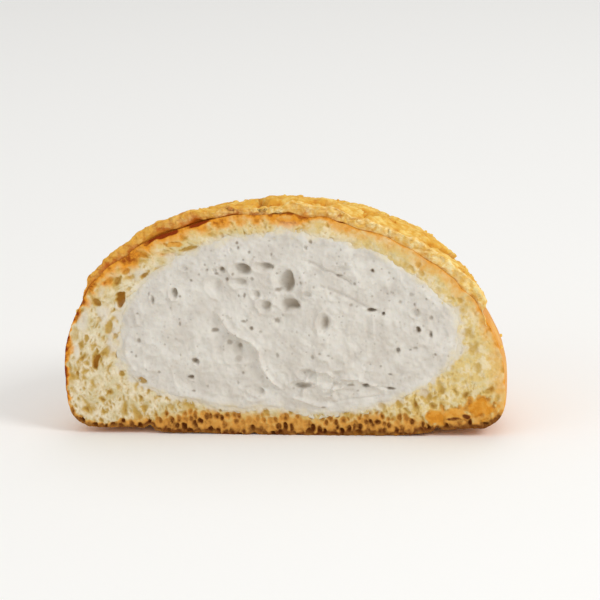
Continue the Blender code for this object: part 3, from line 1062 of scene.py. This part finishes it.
airHoles = [  # x, z, half width, half height, in mm, and strength
    (-8.3, 44.3, 0.33, 0.4, 0.8), (-8.1, 43.2, 0.3, 0.46, 0.8), (-5.7, 42.1, 0.3, 0.3, 0.6),
    (-7.1, 40.4, 0.26, 0.26, 0.4), (-12.1, 38.4, 0.46, 0.53, 1), (-13.3, 37.3, 0.53, 0.33, 0.7),
    (-11.1, 36, 0.4, 0.46, 0.8), (-9.7, 37.1, 0.26, 0.26, 0.5), (-15.9, 39.3, 0.23, 0.3, 0.4),
    (-15.4, 38.2, 0.33, 0.3, 0.6), (-17.4, 37.1, 0.26, 0.2, 0.4), (-19.3, 35.7, 0.33, 0.33, 0.6),
    (-22.1, 32, 0.3, 0.3, 0.5), (-7.4, 32.2, 0.33, 0.6, 0.7), (-8.7, 32.1, 0.2, 0.26, 0.5),
    (-5.4, 36, 0.46, 0.4, 0.5), (-4.6, 41, 0.23, 0.23, 0.3), (-0.8, 41.5, 0.26, 0.4, 0.5),
    (-1.1, 44.6, 0.26, 0.23, 0.4), (0.4, 33.5, 0.86, 0.46, 0.7), (-11.1, 41.4, 0.23, 0.23, 0.3),
    (-14.3, 42.5, 0.23, 0.17, 0.3), (8.2, 44.4, 0.37, 0.51, 0.9), (5.6, 35.2, 0.29, 0.44, 0.6),
    (21.7, 37.9, 0.44, 0.44, 0.9), (17.6, 34.9, 0.33, 0.33, 0.5), (14.3, 36.8, 0.81, 0.29, 0.6),
    (21, 29, 1.03, 0.37, 1), (23.8, 28.2, 0.37, 0.37, 0.9), (16.6, 30.1, 0.37, 0.29, 0.4),
    (17.9, 29.8, 0.29, 0.22, 0.4), (27.6, 30.8, 0.44, 0.51, 0.4), (30.2, 32.6, 0.59, 0.44, 0.3),
    (21.3, 32.1, 0.29, 0.29, 0.3), (25.3, 37.3, 0.29, 0.29, 0.3), (26.3, 36.1, 0.22, 0.29, 0.3),
    (15.8, 39.3, 0.22, 0.37, 0.3), (12.1, 32.8, 0.29, 0.29, 0.3), (-22.4, 25.8, 0.26, 0.46, 0.6),
    (-14.5, 24.3, 0.86, 0.46, 0.7), (-7.8, 26.3, 0.6, 0.33, 0.6), (-6.2, 24.7, 0.46, 0.46, 0.9),
    (-4.2, 23.8, 0.4, 0.33, 0.3), (-32.1, 22, 0.4, 0.6, 0.6), (-34, 19.2, 0.3, 0.23, 0.5),
    (-33, 18.4, 0.3, 0.36, 0.5), (-26.2, 21, 0.23, 0.23, 0.4), (-19.5, 17.3, 0.66, 0.66, 0.9),
    (-20.8, 13.3, 0.73, 0.4, 0.9), (-28, 14.5, 0.33, 0.3, 0.5), (-11.3, 21.5, 0.6, 0.6, 0.5),
    (-9, 20.6, 0.6, 0.53, 0.6), (-9.5, 17.6, 0.93, 0.66, 0.3), (-8.6, 14.5, 0.33, 0.33, 0.5),
    (-3.2, 13.3, 0.26, 0.33, 0.7), (-9.9, 12.1, 0.26, 0.4, 0.3), (-20.3, 10.2, 0.46, 0.26, 0.7),
    (-0.3, 26.4, 0.6, 0.6, 0.5), (-0.6, 18.5, 0.33, 0.73, 0.4), (-30.9, 15.2, 0.26, 0.26, 0.3),
    (-18.7, 20.6, 0.2, 0.26, 0.3), (31.4, 24.5, 0.59, 0.73, 1), (34.1, 23.5, 0.37, 0.81, 0.7),
    (34.3, 27.3, 0.44, 0.51, 0.5), (26.7, 19.8, 0.51, 0.66, 0.5), (34.9, 19, 0.29, 0.29, 0.6),
    (37.8, 18.6, 0.22, 0.22, 0.6), (30.6, 20.4, 0.51, 0.37, 0.4), (24.6, 14.3, 0.44, 0.22, 0.6),
    (19, 11.9, 0.59, 0.44, 0.9), (9.1, 19, 0.37, 0.22, 0.4), (11, 18.6, 0.37, 0.26, 0.4),
    (7.5, 18.3, 0.44, 0.51, 0.4), (15.6, 11.8, 0.88, 0.29, 0.5), (24.7, 11, 0.95, 0.26, 0.9),
    (9.4, 6.7, 0.51, 0.29, 0.6), (17.2, 10.5, 0.26, 0.26, 0.4), (18.9, 16.4, 0.26, 0.26, 0.2),
]
creamNoise = {   # size of a bump in metres, and seed
    "wide": (0.011, 41), "middle": (0.0042, 42), "small": (0.0016, 43), "fine": (0.0008, 44),
    "crease": (0.0033, 62), "patchy": (0.009, 61), "edge": (0.0045, 45), "edgeMiddle": (0.0017, 46),
    "edgeFine": (0.0007, 49), "film": (0.0023, 47), "filmFine": (0.0008, 48), "thin": (0.0016, 50),
    "specks": (0.0005, 46),
}
creamSpecks = {"count": 120, "low": 0.00012, "high": 0.00026, "depth": 0.00034, "seed": 46}


def creamRelief(x, z):
    # how far the face lies behind the cut, and how deep it is in a pocket from 0 to 1, which is painted
    # darker as shade
    spots = np.stack([x, 0 * x, z], axis=-1)
    names = ("wide", "middle", "crease", "small", "fine", "patchy")
    wide, middle, crease, small, fine, patchy = (noiseAt(spots, *creamNoise[name]) for name in names)
    crease = (1 - np.abs(crease)) ** 5 * smoothStep(0.5 + 0.7 * patchy)
    depth = 0.00042 * wide + 0.00028 * middle + 0.00020 * small + 0.00014 * fine - 0.00034 * crease
    shadedPocket = np.zeros(x.shape)
    lip = np.zeros(x.shape)
    for placeX, placeZ, halfWidth, halfHeight, deep, facing in pockets:
        side = (x - placeX / 1000) / (halfWidth / 1000)
        up = (z - placeZ / 1000) / (halfHeight / 1000)
        reach = np.hypot(side, up) + 0.26 * small + 0.20 * middle + 0.12 * fine
        steep = side * math.cos(math.radians(facing)) + up * math.sin(math.radians(facing))
        hollow = smoothStep((1.14 - reach) / (0.78 - 0.34 * np.clip(steep, -1, 1)))
        hollow = hollow * (0.60 + 0.40 * np.clip(steep, -1, 1))
        shadedPocket = np.maximum(shadedPocket, hollow * min(1.0, deep / 1.6))
        depth = depth + deep / 1000 * hollow
        ring = np.exp(-(((reach - 1.2) / 0.2) ** 2)) * np.clip(0.5 - steep, 0, 1)
        lip = np.maximum(lip, ring * min(deep, 1.2) * 0.00026)
    depth = depth - lip
    for line, height, half, step in folds:
        reach, along = lineDistance(x * 1000, z * 1000, line)
        ends = smoothStep(along / 0.15) * smoothStep((1 - along) / 0.15)
        ridge = np.exp(-((reach / half) ** 2)) * (1 - 0.7 * np.minimum(1, shadedPocket * 2)) * (1 + 0.35 * small)
        depth = depth - height / 1000 * ridge * ends
        if step:
            lineX, lineZ = np.array(line).T
            place = x * 1000 - np.interp(-z * 1000, -lineZ, lineX)
            behind = smoothStep(-place / 0.8 + 0.5) * smoothStep((6 + place) / 6)
            depth = depth + step / 1000 * behind * ends * smoothStep((7 - reach) / 4)
    for line, deep, half in grooves:
        reach, along = lineDistance(x * 1000, z * 1000, line)
        ends = smoothStep(along / 0.2) * smoothStep((1 - along) / 0.2)
        depth = depth + deep / 1000 * np.exp(-((reach / half) ** 2)) * ends
    return depth, shadedPocket


def addSpecks(x, z, bend):
    # air holes from 0 to 1, dimpled and painted darker as shade: those that stand out one by one, and fainter
    # ones at random
    random = np.random.default_rng(creamSpecks["seed"])
    places = [(a / 1000, b / 1000, c / 1000, d / 1000, e) for a, b, c, d, e in airHoles]
    middleX, middleZ = cream["centre"]
    for _ in range(creamSpecks["count"]):
        turn = random.uniform(0, 2 * math.pi)
        reach = math.sqrt(random.uniform(0, 0.95))
        size = random.uniform(creamSpecks["low"], creamSpecks["high"])
        places.append((
            middleX + 0.036 * reach * math.cos(turn),
            middleZ + (0.0200 if turn < math.pi else 0.0180) * reach * math.sin(turn),
            size, size * random.uniform(0.8, 1.6), random.uniform(0.15, 0.45),
        ))
    shadedAirHole = np.zeros(len(x))
    for placeX, placeZ, halfWidth, halfHeight, strength in places:
        close = np.flatnonzero((np.abs(x - placeX) < 2 * halfWidth) & (np.abs(z - placeZ) < 2 * halfHeight))
        reach = np.hypot((x[close] - placeX) / halfWidth, (z[close] - placeZ) / halfHeight)
        reach = smoothStep((1.35 - reach - 0.25 * bend[close]) / 0.9)
        shadedAirHole[close] = np.maximum(shadedAirHole[close], reach * strength ** 0.7)
    return shadedAirHole


def makeCream():
    body = newBody()
    around = evenAngles(creamForm, cream["rimPoints"])
    flat = raysFromCut(around, 0.0)
    onForm = surfaceAt(flat, creamForm)
    names = (("edge", 0.0007), ("edgeMiddle", 0.00065), ("edgeFine", 0.00035))
    ragged = sum(height * noiseAt(onForm, *creamNoise[name]) for name, height in names)
    rim = addPoints(body, onForm + flat * (creamShift(onForm) + 0.0011 + ragged)[:, None])
    # behind the face the cream fills the hollow
    rings = [(0.035, 430)] + [(back, 110) for back in np.linspace(0.09, 1.5, 20)]
    pole = surfaceAt(toBack, creamForm)
    addDome(body, rim, around, rings, lambda rays: surfaceAt(rays, creamForm, -0.0001), 0, pole)
    outer = np.concatenate(body["points"])[rim][:, [0, 2]]
    flatSheet(body, [rim], cream["faceCell"], withinOutline(outer), 1)
    points = np.concatenate(body["points"])
    x, y, z = points.T
    face = np.abs(y) < 1e-9
    depth, shadedPocket = creamRelief(x, z)
    shadedAirHole = addSpecks(x, z, noiseAt(points, *creamNoise["specks"]))
    depth = depth + creamSpecks["depth"] * shadedAirHole
    inside = -pastCream(points)
    # the edge thins out over the crumb
    film = 0.00026 * noiseAt(points, *creamNoise["film"]) + 0.00014 * noiseAt(points, *creamNoise["filmFine"])
    depth = depth * smoothStep(inside / 0.0024) + film * smoothStep((0.0026 - inside) / 0.0026)
    depth = depth + 0.00045 * smoothStep((0.0004 - inside) / 0.0013)
    depth = depth + 3.0 * poreHoles(x, z) * smoothStep((0.0014 - inside) / 0.0008)
    thin = 0.0012 + 0.0009 * noiseAt(points, *creamNoise["thin"])
    thin = 0.8 * smoothStep((thin - inside) / 0.0022)
    moved = points.copy()
    moved[:, 1] = np.where(face, depth - cream["proud"], y)
    body["points"] = [moved]
    marks = {"shadedPocket": shadedPocket * face, "shadedAirHole": shadedAirHole * face, "thin": thin * face}
    thing = makeObject("cream_whipped", body, marks)
    thing.data.materials.append(creamMaterial)
    return thing


creamPiece = makeCream()
print("bun: cream has", len(creamPiece.data.polygons), "faces")


# The streusel: a crust cracked into plates, sunk under the skin where it is cracked

plateNoise = {   # size of a bump in metres, and seed
    "lobes": (0.0026, 51), "ragged": (0.0010, 52), "rim": (0.0035, 53), "dome": (0.006, 54),
    "domeFine": (0.0027, 63), "lumps": (0.0022, 55), "crumbs": (0.0007, 56), "bits": (0.0016, 57),
    "front": (0.0032, 56), "frontFine": (0.0009, 65), "slit": (0.0017, 57), "end": (0.0022, 58),
    "patches": (0.007, 61),
}
cutProfile = [  # x and thickness on the cut, in mm
    (-50, 0.9), (-47, 1.2), (-43, 1.6), (-41, 2.2), (-30, 2.3), (-28, 2.6), (-16, 2.6), (-14, 1.7),
    (-12, 1.5), (-9, 1.9), (-7.5, 1.2), (2, 1.2), (4, 2.6), (13, 2.8), (15, 2.1), (18, 2.1), (20, 2.5),
    (27, 2.5), (29, 3.0), (36, 3.1), (43, 3.2), (46, 1.8), (50, 1.2),
]


def plateAt(points, name):
    return noiseAt(points, *plateNoise[name])


def plateSeeds():
    random = np.random.default_rng(streusel["seed"])
    count = streusel["plates"]
    share = (np.arange(count) + 0.5) / count
    falls = np.arccos(1 - share * (1 - math.cos(streusel["spread"])))
    turns = np.arange(count) * math.pi * (3 - math.sqrt(5))
    seeds = surfaceAt(raysFromTop(turns, falls), breadForm)
    seeds += random.normal(0, streusel["jitter"], seeds.shape)
    widths = random.uniform(*streusel["crackWidths"], (count, count))
    return seeds, (widths + widths.T) / 2


def crackDistance(points):
    # distance from each point to the edge of the crack along its plate
    seeds, widths = plateSeeds()
    turned = points[:, [1, 2, 0]]
    bent = points + 0.0012 * np.sin(620 * turned + [0.4, 2.1, 4.0])
    bent += 0.0003 * np.sin(1700 * turned + [1.3, 0.2, 5.1])
    edges = []
    for chunk in np.array_split(bent, max(1, len(bent) // 8000)):
        squares = ((chunk[:, None, :] - seeds) ** 2).sum(axis=-1)
        own = squares.argmin(axis=-1)
        apart = np.linalg.norm(seeds[own][:, None, :] - seeds, axis=-1)
        border = (squares - squares.min(axis=-1)[:, None]) / (2 * np.maximum(apart, 1e-6))
        np.put_along_axis(border, own[:, None], np.inf, axis=-1)
        edges.append((border - widths[own] / 2).min(axis=-1))
    return np.concatenate(edges)


def slitAt(lying):
    # the gap between skin and streusel on the cut
    slit = np.interp(lying[:, 0] * 1000, *np.array(cutSlits).T) / 1000
    return slit * np.clip(1 + 0.7 * plateAt(lying, "slit"), 0.2, 2)


def crustTop(rays):
    # height of the crust above the bread's form, and its plate mask
    lying = surfaceAt(rays, breadForm, streusel["gap"])
    turns, falls = turnAndFall(rays)
    fromRim = rimAngle(turns) - falls
    inRim = smoothStep(fromRim / streusel["rimTaper"])
    end = smoothStep(fromRim / math.radians(8) * (1 + 0.6 * plateAt(lying, "end")))
    ragged = crackDistance(lying) + 0.00060 * plateAt(lying, "lobes")
    ragged = ragged + 0.00026 * plateAt(lying, "ragged")
    ragged = ragged - 0.0014 * (1 - inRim) * (1.0 + plateAt(lying, "rim"))
    plate = smoothStep((ragged + 0.0002) / 0.0007) * end
    full = streusel["thickness"] * (1 + streusel["drift"] * rays[:, 0]) * (0.42 + 0.58 * inRim)
    full = full + 0.00034 * (plateAt(lying, "dome") + plateAt(lying, "domeFine")) * inRim
    sunk = streusel["sunk"]
    height = sunk + (streusel["gap"] + full - sunk) * plate
    # on the cut it follows its own profile
    near = np.exp(-((lying[:, 1] / 0.0045) ** 2))
    profile = np.interp(lying[:, 0] * 1000, *np.array(cutProfile).T) / 1000
    edgeHeight = sunk + (bread["skinLift"] + profile + 0.6 * slitAt(lying) - sunk) * end
    uneven = 0.00030 * plateAt(lying, "front") + 0.00016 * plateAt(lying, "frontFine")
    height = height * (1 - near) + (edgeHeight + uneven * end) * near
    plate = plate * (1 - near) + end * near
    return lying, height, plate


def makeGrainNodes():
    # granular crumbs on the plates, and small holes; the holes and the low places between the grains are
    # painted browner as shade
    tree, given, out = newGroup(
        "streuselGrain", "GeometryNodeTree",
        {"Geometry": "Geometry", "Grain Size": 0.0019, "Grain Height": 0.00020, "Hole Spacing": 0.0036,
         "Hole Depth": 0.0009, "Streusel": "Material"},
        {"Geometry": "Geometry"},
    )
    place = wire(tree, "GeometryNodeInputPosition")
    plate = named(tree, "plate")
    shift, cloud = warped(place, 700.0, 3.0, 0.0012)
    bent = vectorMaths("ADD", place, shift)
    _, _, grainReach = cellsAt(bent, given("Grain Size"), 2.0)
    _, chance, holeReach = cellsAt(bent, given("Hole Spacing"), 5.0)
    grain = ramp(grainReach, 0.1, 0.75, 1.0, -0.6)
    hole = ramp(ramp(chance, 0.35, 1.0) * 0.30 - holeReach, -0.06, 0.06)
    lift = (grain * given("Grain Height") + (cloud - 0.5) * 0.0004 - hole * given("Hole Depth")) * plate
    push = vectorMaths("SCALE", named(tree, "outward", "FLOAT_VECTOR"), lift)
    # the painted shade mark: holes, and the low places between the grains
    stored = storeMark(given("Geometry"), "pitShade", hole.orMore(ramp(grain, 0.1, -0.6, 0.0, 0.5)) * plate)
    real = changed("RealizeInstances", changed("SetPosition", stored, Offset=push))
    plug(out["Geometry"], changed("SetMaterial", real, Material=given("Streusel")))
    return tree


def crustRings(cell):
    # rays to the crust, row by row from the top to its rim, and how many are in each row
    rings = []
    for share in np.linspace(0, 1, round(1.45 * bunRadius / cell) + 1):
        fall = rimAngle(np.array(math.pi / 2)) * share
        turns = np.linspace(0, math.pi, math.ceil(math.pi * bunRadius * math.sin(fall) / cell) + 1)
        rings.append(raysFromTop(turns, rimAngle(turns) * share))
    return np.concatenate(rings), [len(ring) for ring in rings]


def makeStreusel():
    body = newBody()
    marks = {"plate": [], "bake": [], "inner": [], "outward": []}

    def mark(*values):
        for name, value in zip(marks, values):
            marks[name].append(value)

    # outside
    rays, sizes = crustRings(streusel["topCell"])
    lying, height, plate = crustTop(rays)
    top = addSheet(body, sizes, lying + rays * (height - streusel["gap"])[:, None])
    left = smoothStep(0.35 - 0.9 * rays[:, 0])
    bake = 0.30 + 0.42 * smoothStep((0.0016 - height) / 0.0012) + 0.12 * left
    mark(plate, bake, 0.55 * np.exp(-lying[:, 1] / 0.0006) * (1 - left), rays)
    # underside
    rays, sizes = crustRings(streusel["underCell"])
    lying = surfaceAt(rays, breadForm, streusel["gap"])
    turns, falls = turnAndFall(rays)
    atCut = np.exp(-((lying[:, 1] / 0.0012) ** 2)) * smoothStep((rimAngle(turns) - falls) / math.radians(5))
    height = -0.0008 + (0.0007 + bread["skinLift"] + slitAt(lying) + frontWave(lying)) * atCut
    lower = lying + rays * (height - streusel["gap"])[:, None] + [0, 0.0002, 0]
    under = addSheet(body, sizes, lower)
    mark(0 * height, 0 * height + 0.85, 0 * height, rays)
    addBand(body, top[-1], under[-1])
    # cut edge: a crumbly wall between the two
    points = np.concatenate(body["points"])
    topLine, underLine = (
        np.array([ring[-1] for ring in sheet[::-1]] + [ring[0] for ring in sheet[1:]])
        for sheet in (top, under)
    )
    place, underPlace = np.linspace(0, 1, len(topLine)), np.linspace(0, 1, len(underLine))
    low = np.stack([np.interp(place, underPlace, points[underLine][:, axis]) for axis in range(3)], axis=-1)
    high = points[topLine]
    last = topLine
    for row in range(1, streusel["wallRows"]):
        share = row / streusel["wallRows"]
        line = high + (low - high) * share
        # rounded lumps, with painted shade that makes the creases between them browner and less pale
        lumps = np.minimum(np.abs(plateAt(line, "lumps")), 0.7)
        crumbs = np.abs(plateAt(line, "crumbs"))
        line[:, 1] = 0.0003 - (0.0007 * lumps + 0.0006 * crumbs) * (1 - 0.6 * share ** 2) + 0.0003 * share
        line[[0, -1], 1] = 0.0002
        spots = addPoints(body, line)
        left = smoothStep(0.5 - 12 * line[:, 0])
        # painted shade in the creases between the lumps: browner and less pale
        crease = np.exp(-lumps / 0.09)
        bits = smoothStep(2 * plateAt(line, "bits"))
        pale = (1 - 0.9 * left) * (0.5 + 0.5 * bits) * (1 - 0.6 * crease)
        torn = smoothStep(1.6 - np.abs(line[:, 0] + 0.001) / 0.003) * (0.35 + 0.65 * bits)
        toasted = 0.30 + 0.22 * left + 0.20 * share * (0.4 + left) + 0.12 * crease
        outward = np.tile([0.0, -1.0, 0.0], (len(line), 1))
        mark(np.full(len(line), 0.35), toasted, np.maximum(pale, torn), outward)
        addBand(body, last, spots)
        last = spots
    addBand(body, last, underLine)
    marks = {name: np.concatenate(values) for name, values in marks.items()}
    thing = makeObject("streusel_plates", body, marks)
    return runNodes(thing, makeGrainNodes(), {"Streusel": streuselMaterial})


streuselPiece = makeStreusel()
print("bun: streusel has", len(streuselPiece.data.polygons), "faces")


# Loose grains of streusel on the plates, their edges and the bare skin

looseGrains = {"Density": 170000.0, "Small": 0.00018, "Large": 0.00055, "Seed": 9}


def makeScatterNodes():
    tree, given, out = newGroup(
        "looseGrains", "GeometryNodeTree",
        {"Geometry": "Geometry", "Density": 100000.0, "Small": 0.0002, "Large": 0.0006, "Seed": 1,
         "Streusel": "Material"},
        {"Geometry": "Geometry"},
    )
    scattered = wire(tree, "GeometryNodeDistributePointsOnFaces", {
        "Mesh": given("Geometry"), "Seed": given("Seed"), "Density": given("Density") * named(tree, "loose"),
    })
    grain = wire(tree, "GeometryNodeMeshIcoSphere", {"Radius": 1.0, "Subdivisions": 2})
    chance = "FunctionNodeRandomValue"
    size = addNode(tree, chance, {
        "Min": given("Small"), "Max": given("Large"), "Seed": given("Seed"),
    }, data_type="FLOAT")
    size = Wire(next(socket for socket in size.outputs if socket.enabled))
    spread = wire(tree, chance, {0: (0.7, 0.7, 0.55), 1: (1.3, 1.2, 1.0)}, data_type="FLOAT_VECTOR")
    turn = wire(tree, chance, {1: (6.28, 6.28, 6.28)}, data_type="FLOAT_VECTOR")
    copies = wire(tree, "GeometryNodeInstanceOnPoints", {
        "Points": scattered, "Instance": grain, "Scale": vectorMaths("SCALE", spread, size),
    })
    turned = wire(tree, "GeometryNodeRotateInstances", {"Instances": copies, "Rotation": turn})
    shift, _ = warped(wire(tree, "GeometryNodeInputPosition"), 1900.0, 1.0, 0.00045)
    moved = changed("SetPosition", changed("RealizeInstances", turned), Offset=shift)
    smooth = changed("SetShadeSmooth", moved)
    plug(out["Geometry"], changed("SetMaterial", smooth, Material=given("Streusel")))
    return tree


def makeLooseGrains():
    # the grains lie on a sheet that follows the skin or the plates, whichever is higher
    body = newBody()
    turns = np.linspace(0.02, math.pi - 0.02, 150)[:, None]
    falls = np.linspace(0.05, 1.0, 70)[None, :]
    rays = raysFromTop(turns + 0 * falls, rimAngle(turns) * falls * 1.17).reshape(-1, 3)
    _, height, plate = crustTop(rays)
    turn, fall = turnAndFall(rays)
    pastRim = fall - rimAngle(turn)
    height = np.maximum(height, bread["skinLift"] * smoothStep(-pastRim / math.radians(9)))
    points = surfaceAt(rays, breadForm, height)
    addSheet(body, [falls.size] * turns.size, points)
    past = smoothStep((pastRim + math.radians(30)) / math.radians(22))
    beyond = smoothStep((pastRim - math.radians(2)) / math.radians(12))
    patches = smoothStep(0.5 + 1.4 * plateAt(points, "patches"))
    loose = (0.10 + 1.5 * past * patches) * (1 - beyond) * (0.35 + 0.65 * plate)
    thing = makeObject("streusel_grains", body, {"loose": loose}, outward=False)
    runNodes(thing, makeScatterNodes(), {**looseGrains, "Streusel": streuselMaterial})
    for name, value in (("bake", 0.34), ("inner", 0.0), ("pitShade", 0.0)):
        paint(thing.data, name, np.full(len(thing.data.vertices), value))
    return thing


grainPiece = makeLooseGrains()
print("bun: loose grains have", len(grainPiece.data.polygons), "faces")

pieces = (
    (breadPiece, "bread"),
    (creamPiece, "cream_filling"),
    (streuselPiece, "streusel_crust"),
    (grainPiece, "streusel_crust"),
)
for piece, node in pieces:
    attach(piece, "root")
    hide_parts(node)


# Floor, light and camera

studio = {
    "floor": (250, 249, 246),
    "floorHalf": 6.0,
    "floorFinish": {"roughness": 0.85, "specular": 0.1},
    "world": 0.68,
    "key": (4.1, (0.78, -0.42, 0.66), 0.35),    # power in watts, place in metres, size
    "fill": (1.0, (-0.75, -0.70, 0.45), 0.8),
    "top": (1.2, (0.05, 0.45, 0.95), 0.7),
}
view = {
    "azimuth": 12.0,
    "elevation": 14.0,
    "distance": 0.6,
    "aim": (0.0, 0.0, 0.025),
    "roll": -2.96,
    "lens": 156.3,
}


def makeFloor():
    data = bpy.data.meshes.new("floor")
    half = studio["floorHalf"]
    corners = [(-half, -half, 0), (half, -half, 0), (half, half, 0), (-half, half, 0)]
    data.from_pydata(corners, [], [(0, 1, 2, 3)])
    floor = bpy.data.objects.new("floor", data)
    bpy.context.scene.collection.objects.link(floor)
    material, _, shader = newMaterial("pale floor", studio["floorFinish"])
    plug(shader["Base Color"], tone(*studio["floor"]))
    data.materials.append(material)


def makeLights():
    for name in ("key", "fill", "top"):
        power, place, size = studio[name]
        data = bpy.data.lights.new(name, "AREA")
        data.energy = power
        data.size = size
        light = bpy.data.objects.new(name, data)
        light.location = place
        light.rotation_euler = (Vector((0, 0, 0.02)) - Vector(place)).to_track_quat("-Z", "Y").to_euler()
        bpy.context.scene.collection.objects.link(light)
    world = bpy.data.worlds.new("studio")
    world.use_nodes = True
    back = world.node_tree.nodes["Background"]
    back.inputs["Color"].default_value = (1.0, 1.0, 1.0, 1.0)
    back.inputs["Strength"].default_value = studio["world"]
    bpy.context.scene.world = world


def makeCamera():
    data = bpy.data.cameras.new("camera")
    data.sensor_fit = "HORIZONTAL"
    data.sensor_width = 36.0
    data.lens = view["lens"]
    data.clip_start, data.clip_end = 0.01, 20.0
    camera = bpy.data.objects.new("camera", data)
    turn, rise = math.radians(view["azimuth"]), math.radians(view["elevation"])
    back = Vector((math.sin(turn) * math.cos(rise), -math.cos(turn) * math.cos(rise), math.sin(rise)))
    camera.location = Vector(view["aim"]) + back * view["distance"]
    camera.rotation_mode = "QUATERNION"
    roll = Euler((0, 0, math.radians(view["roll"]))).to_quaternion()
    camera.rotation_quaternion = (-back).to_track_quat("-Z", "Y") @ roll
    bpy.context.scene.collection.objects.link(camera)
    bpy.context.scene.camera = camera


makeFloor()
makeLights()
makeCamera()
bpy.context.scene.view_settings.view_transform = "Standard"
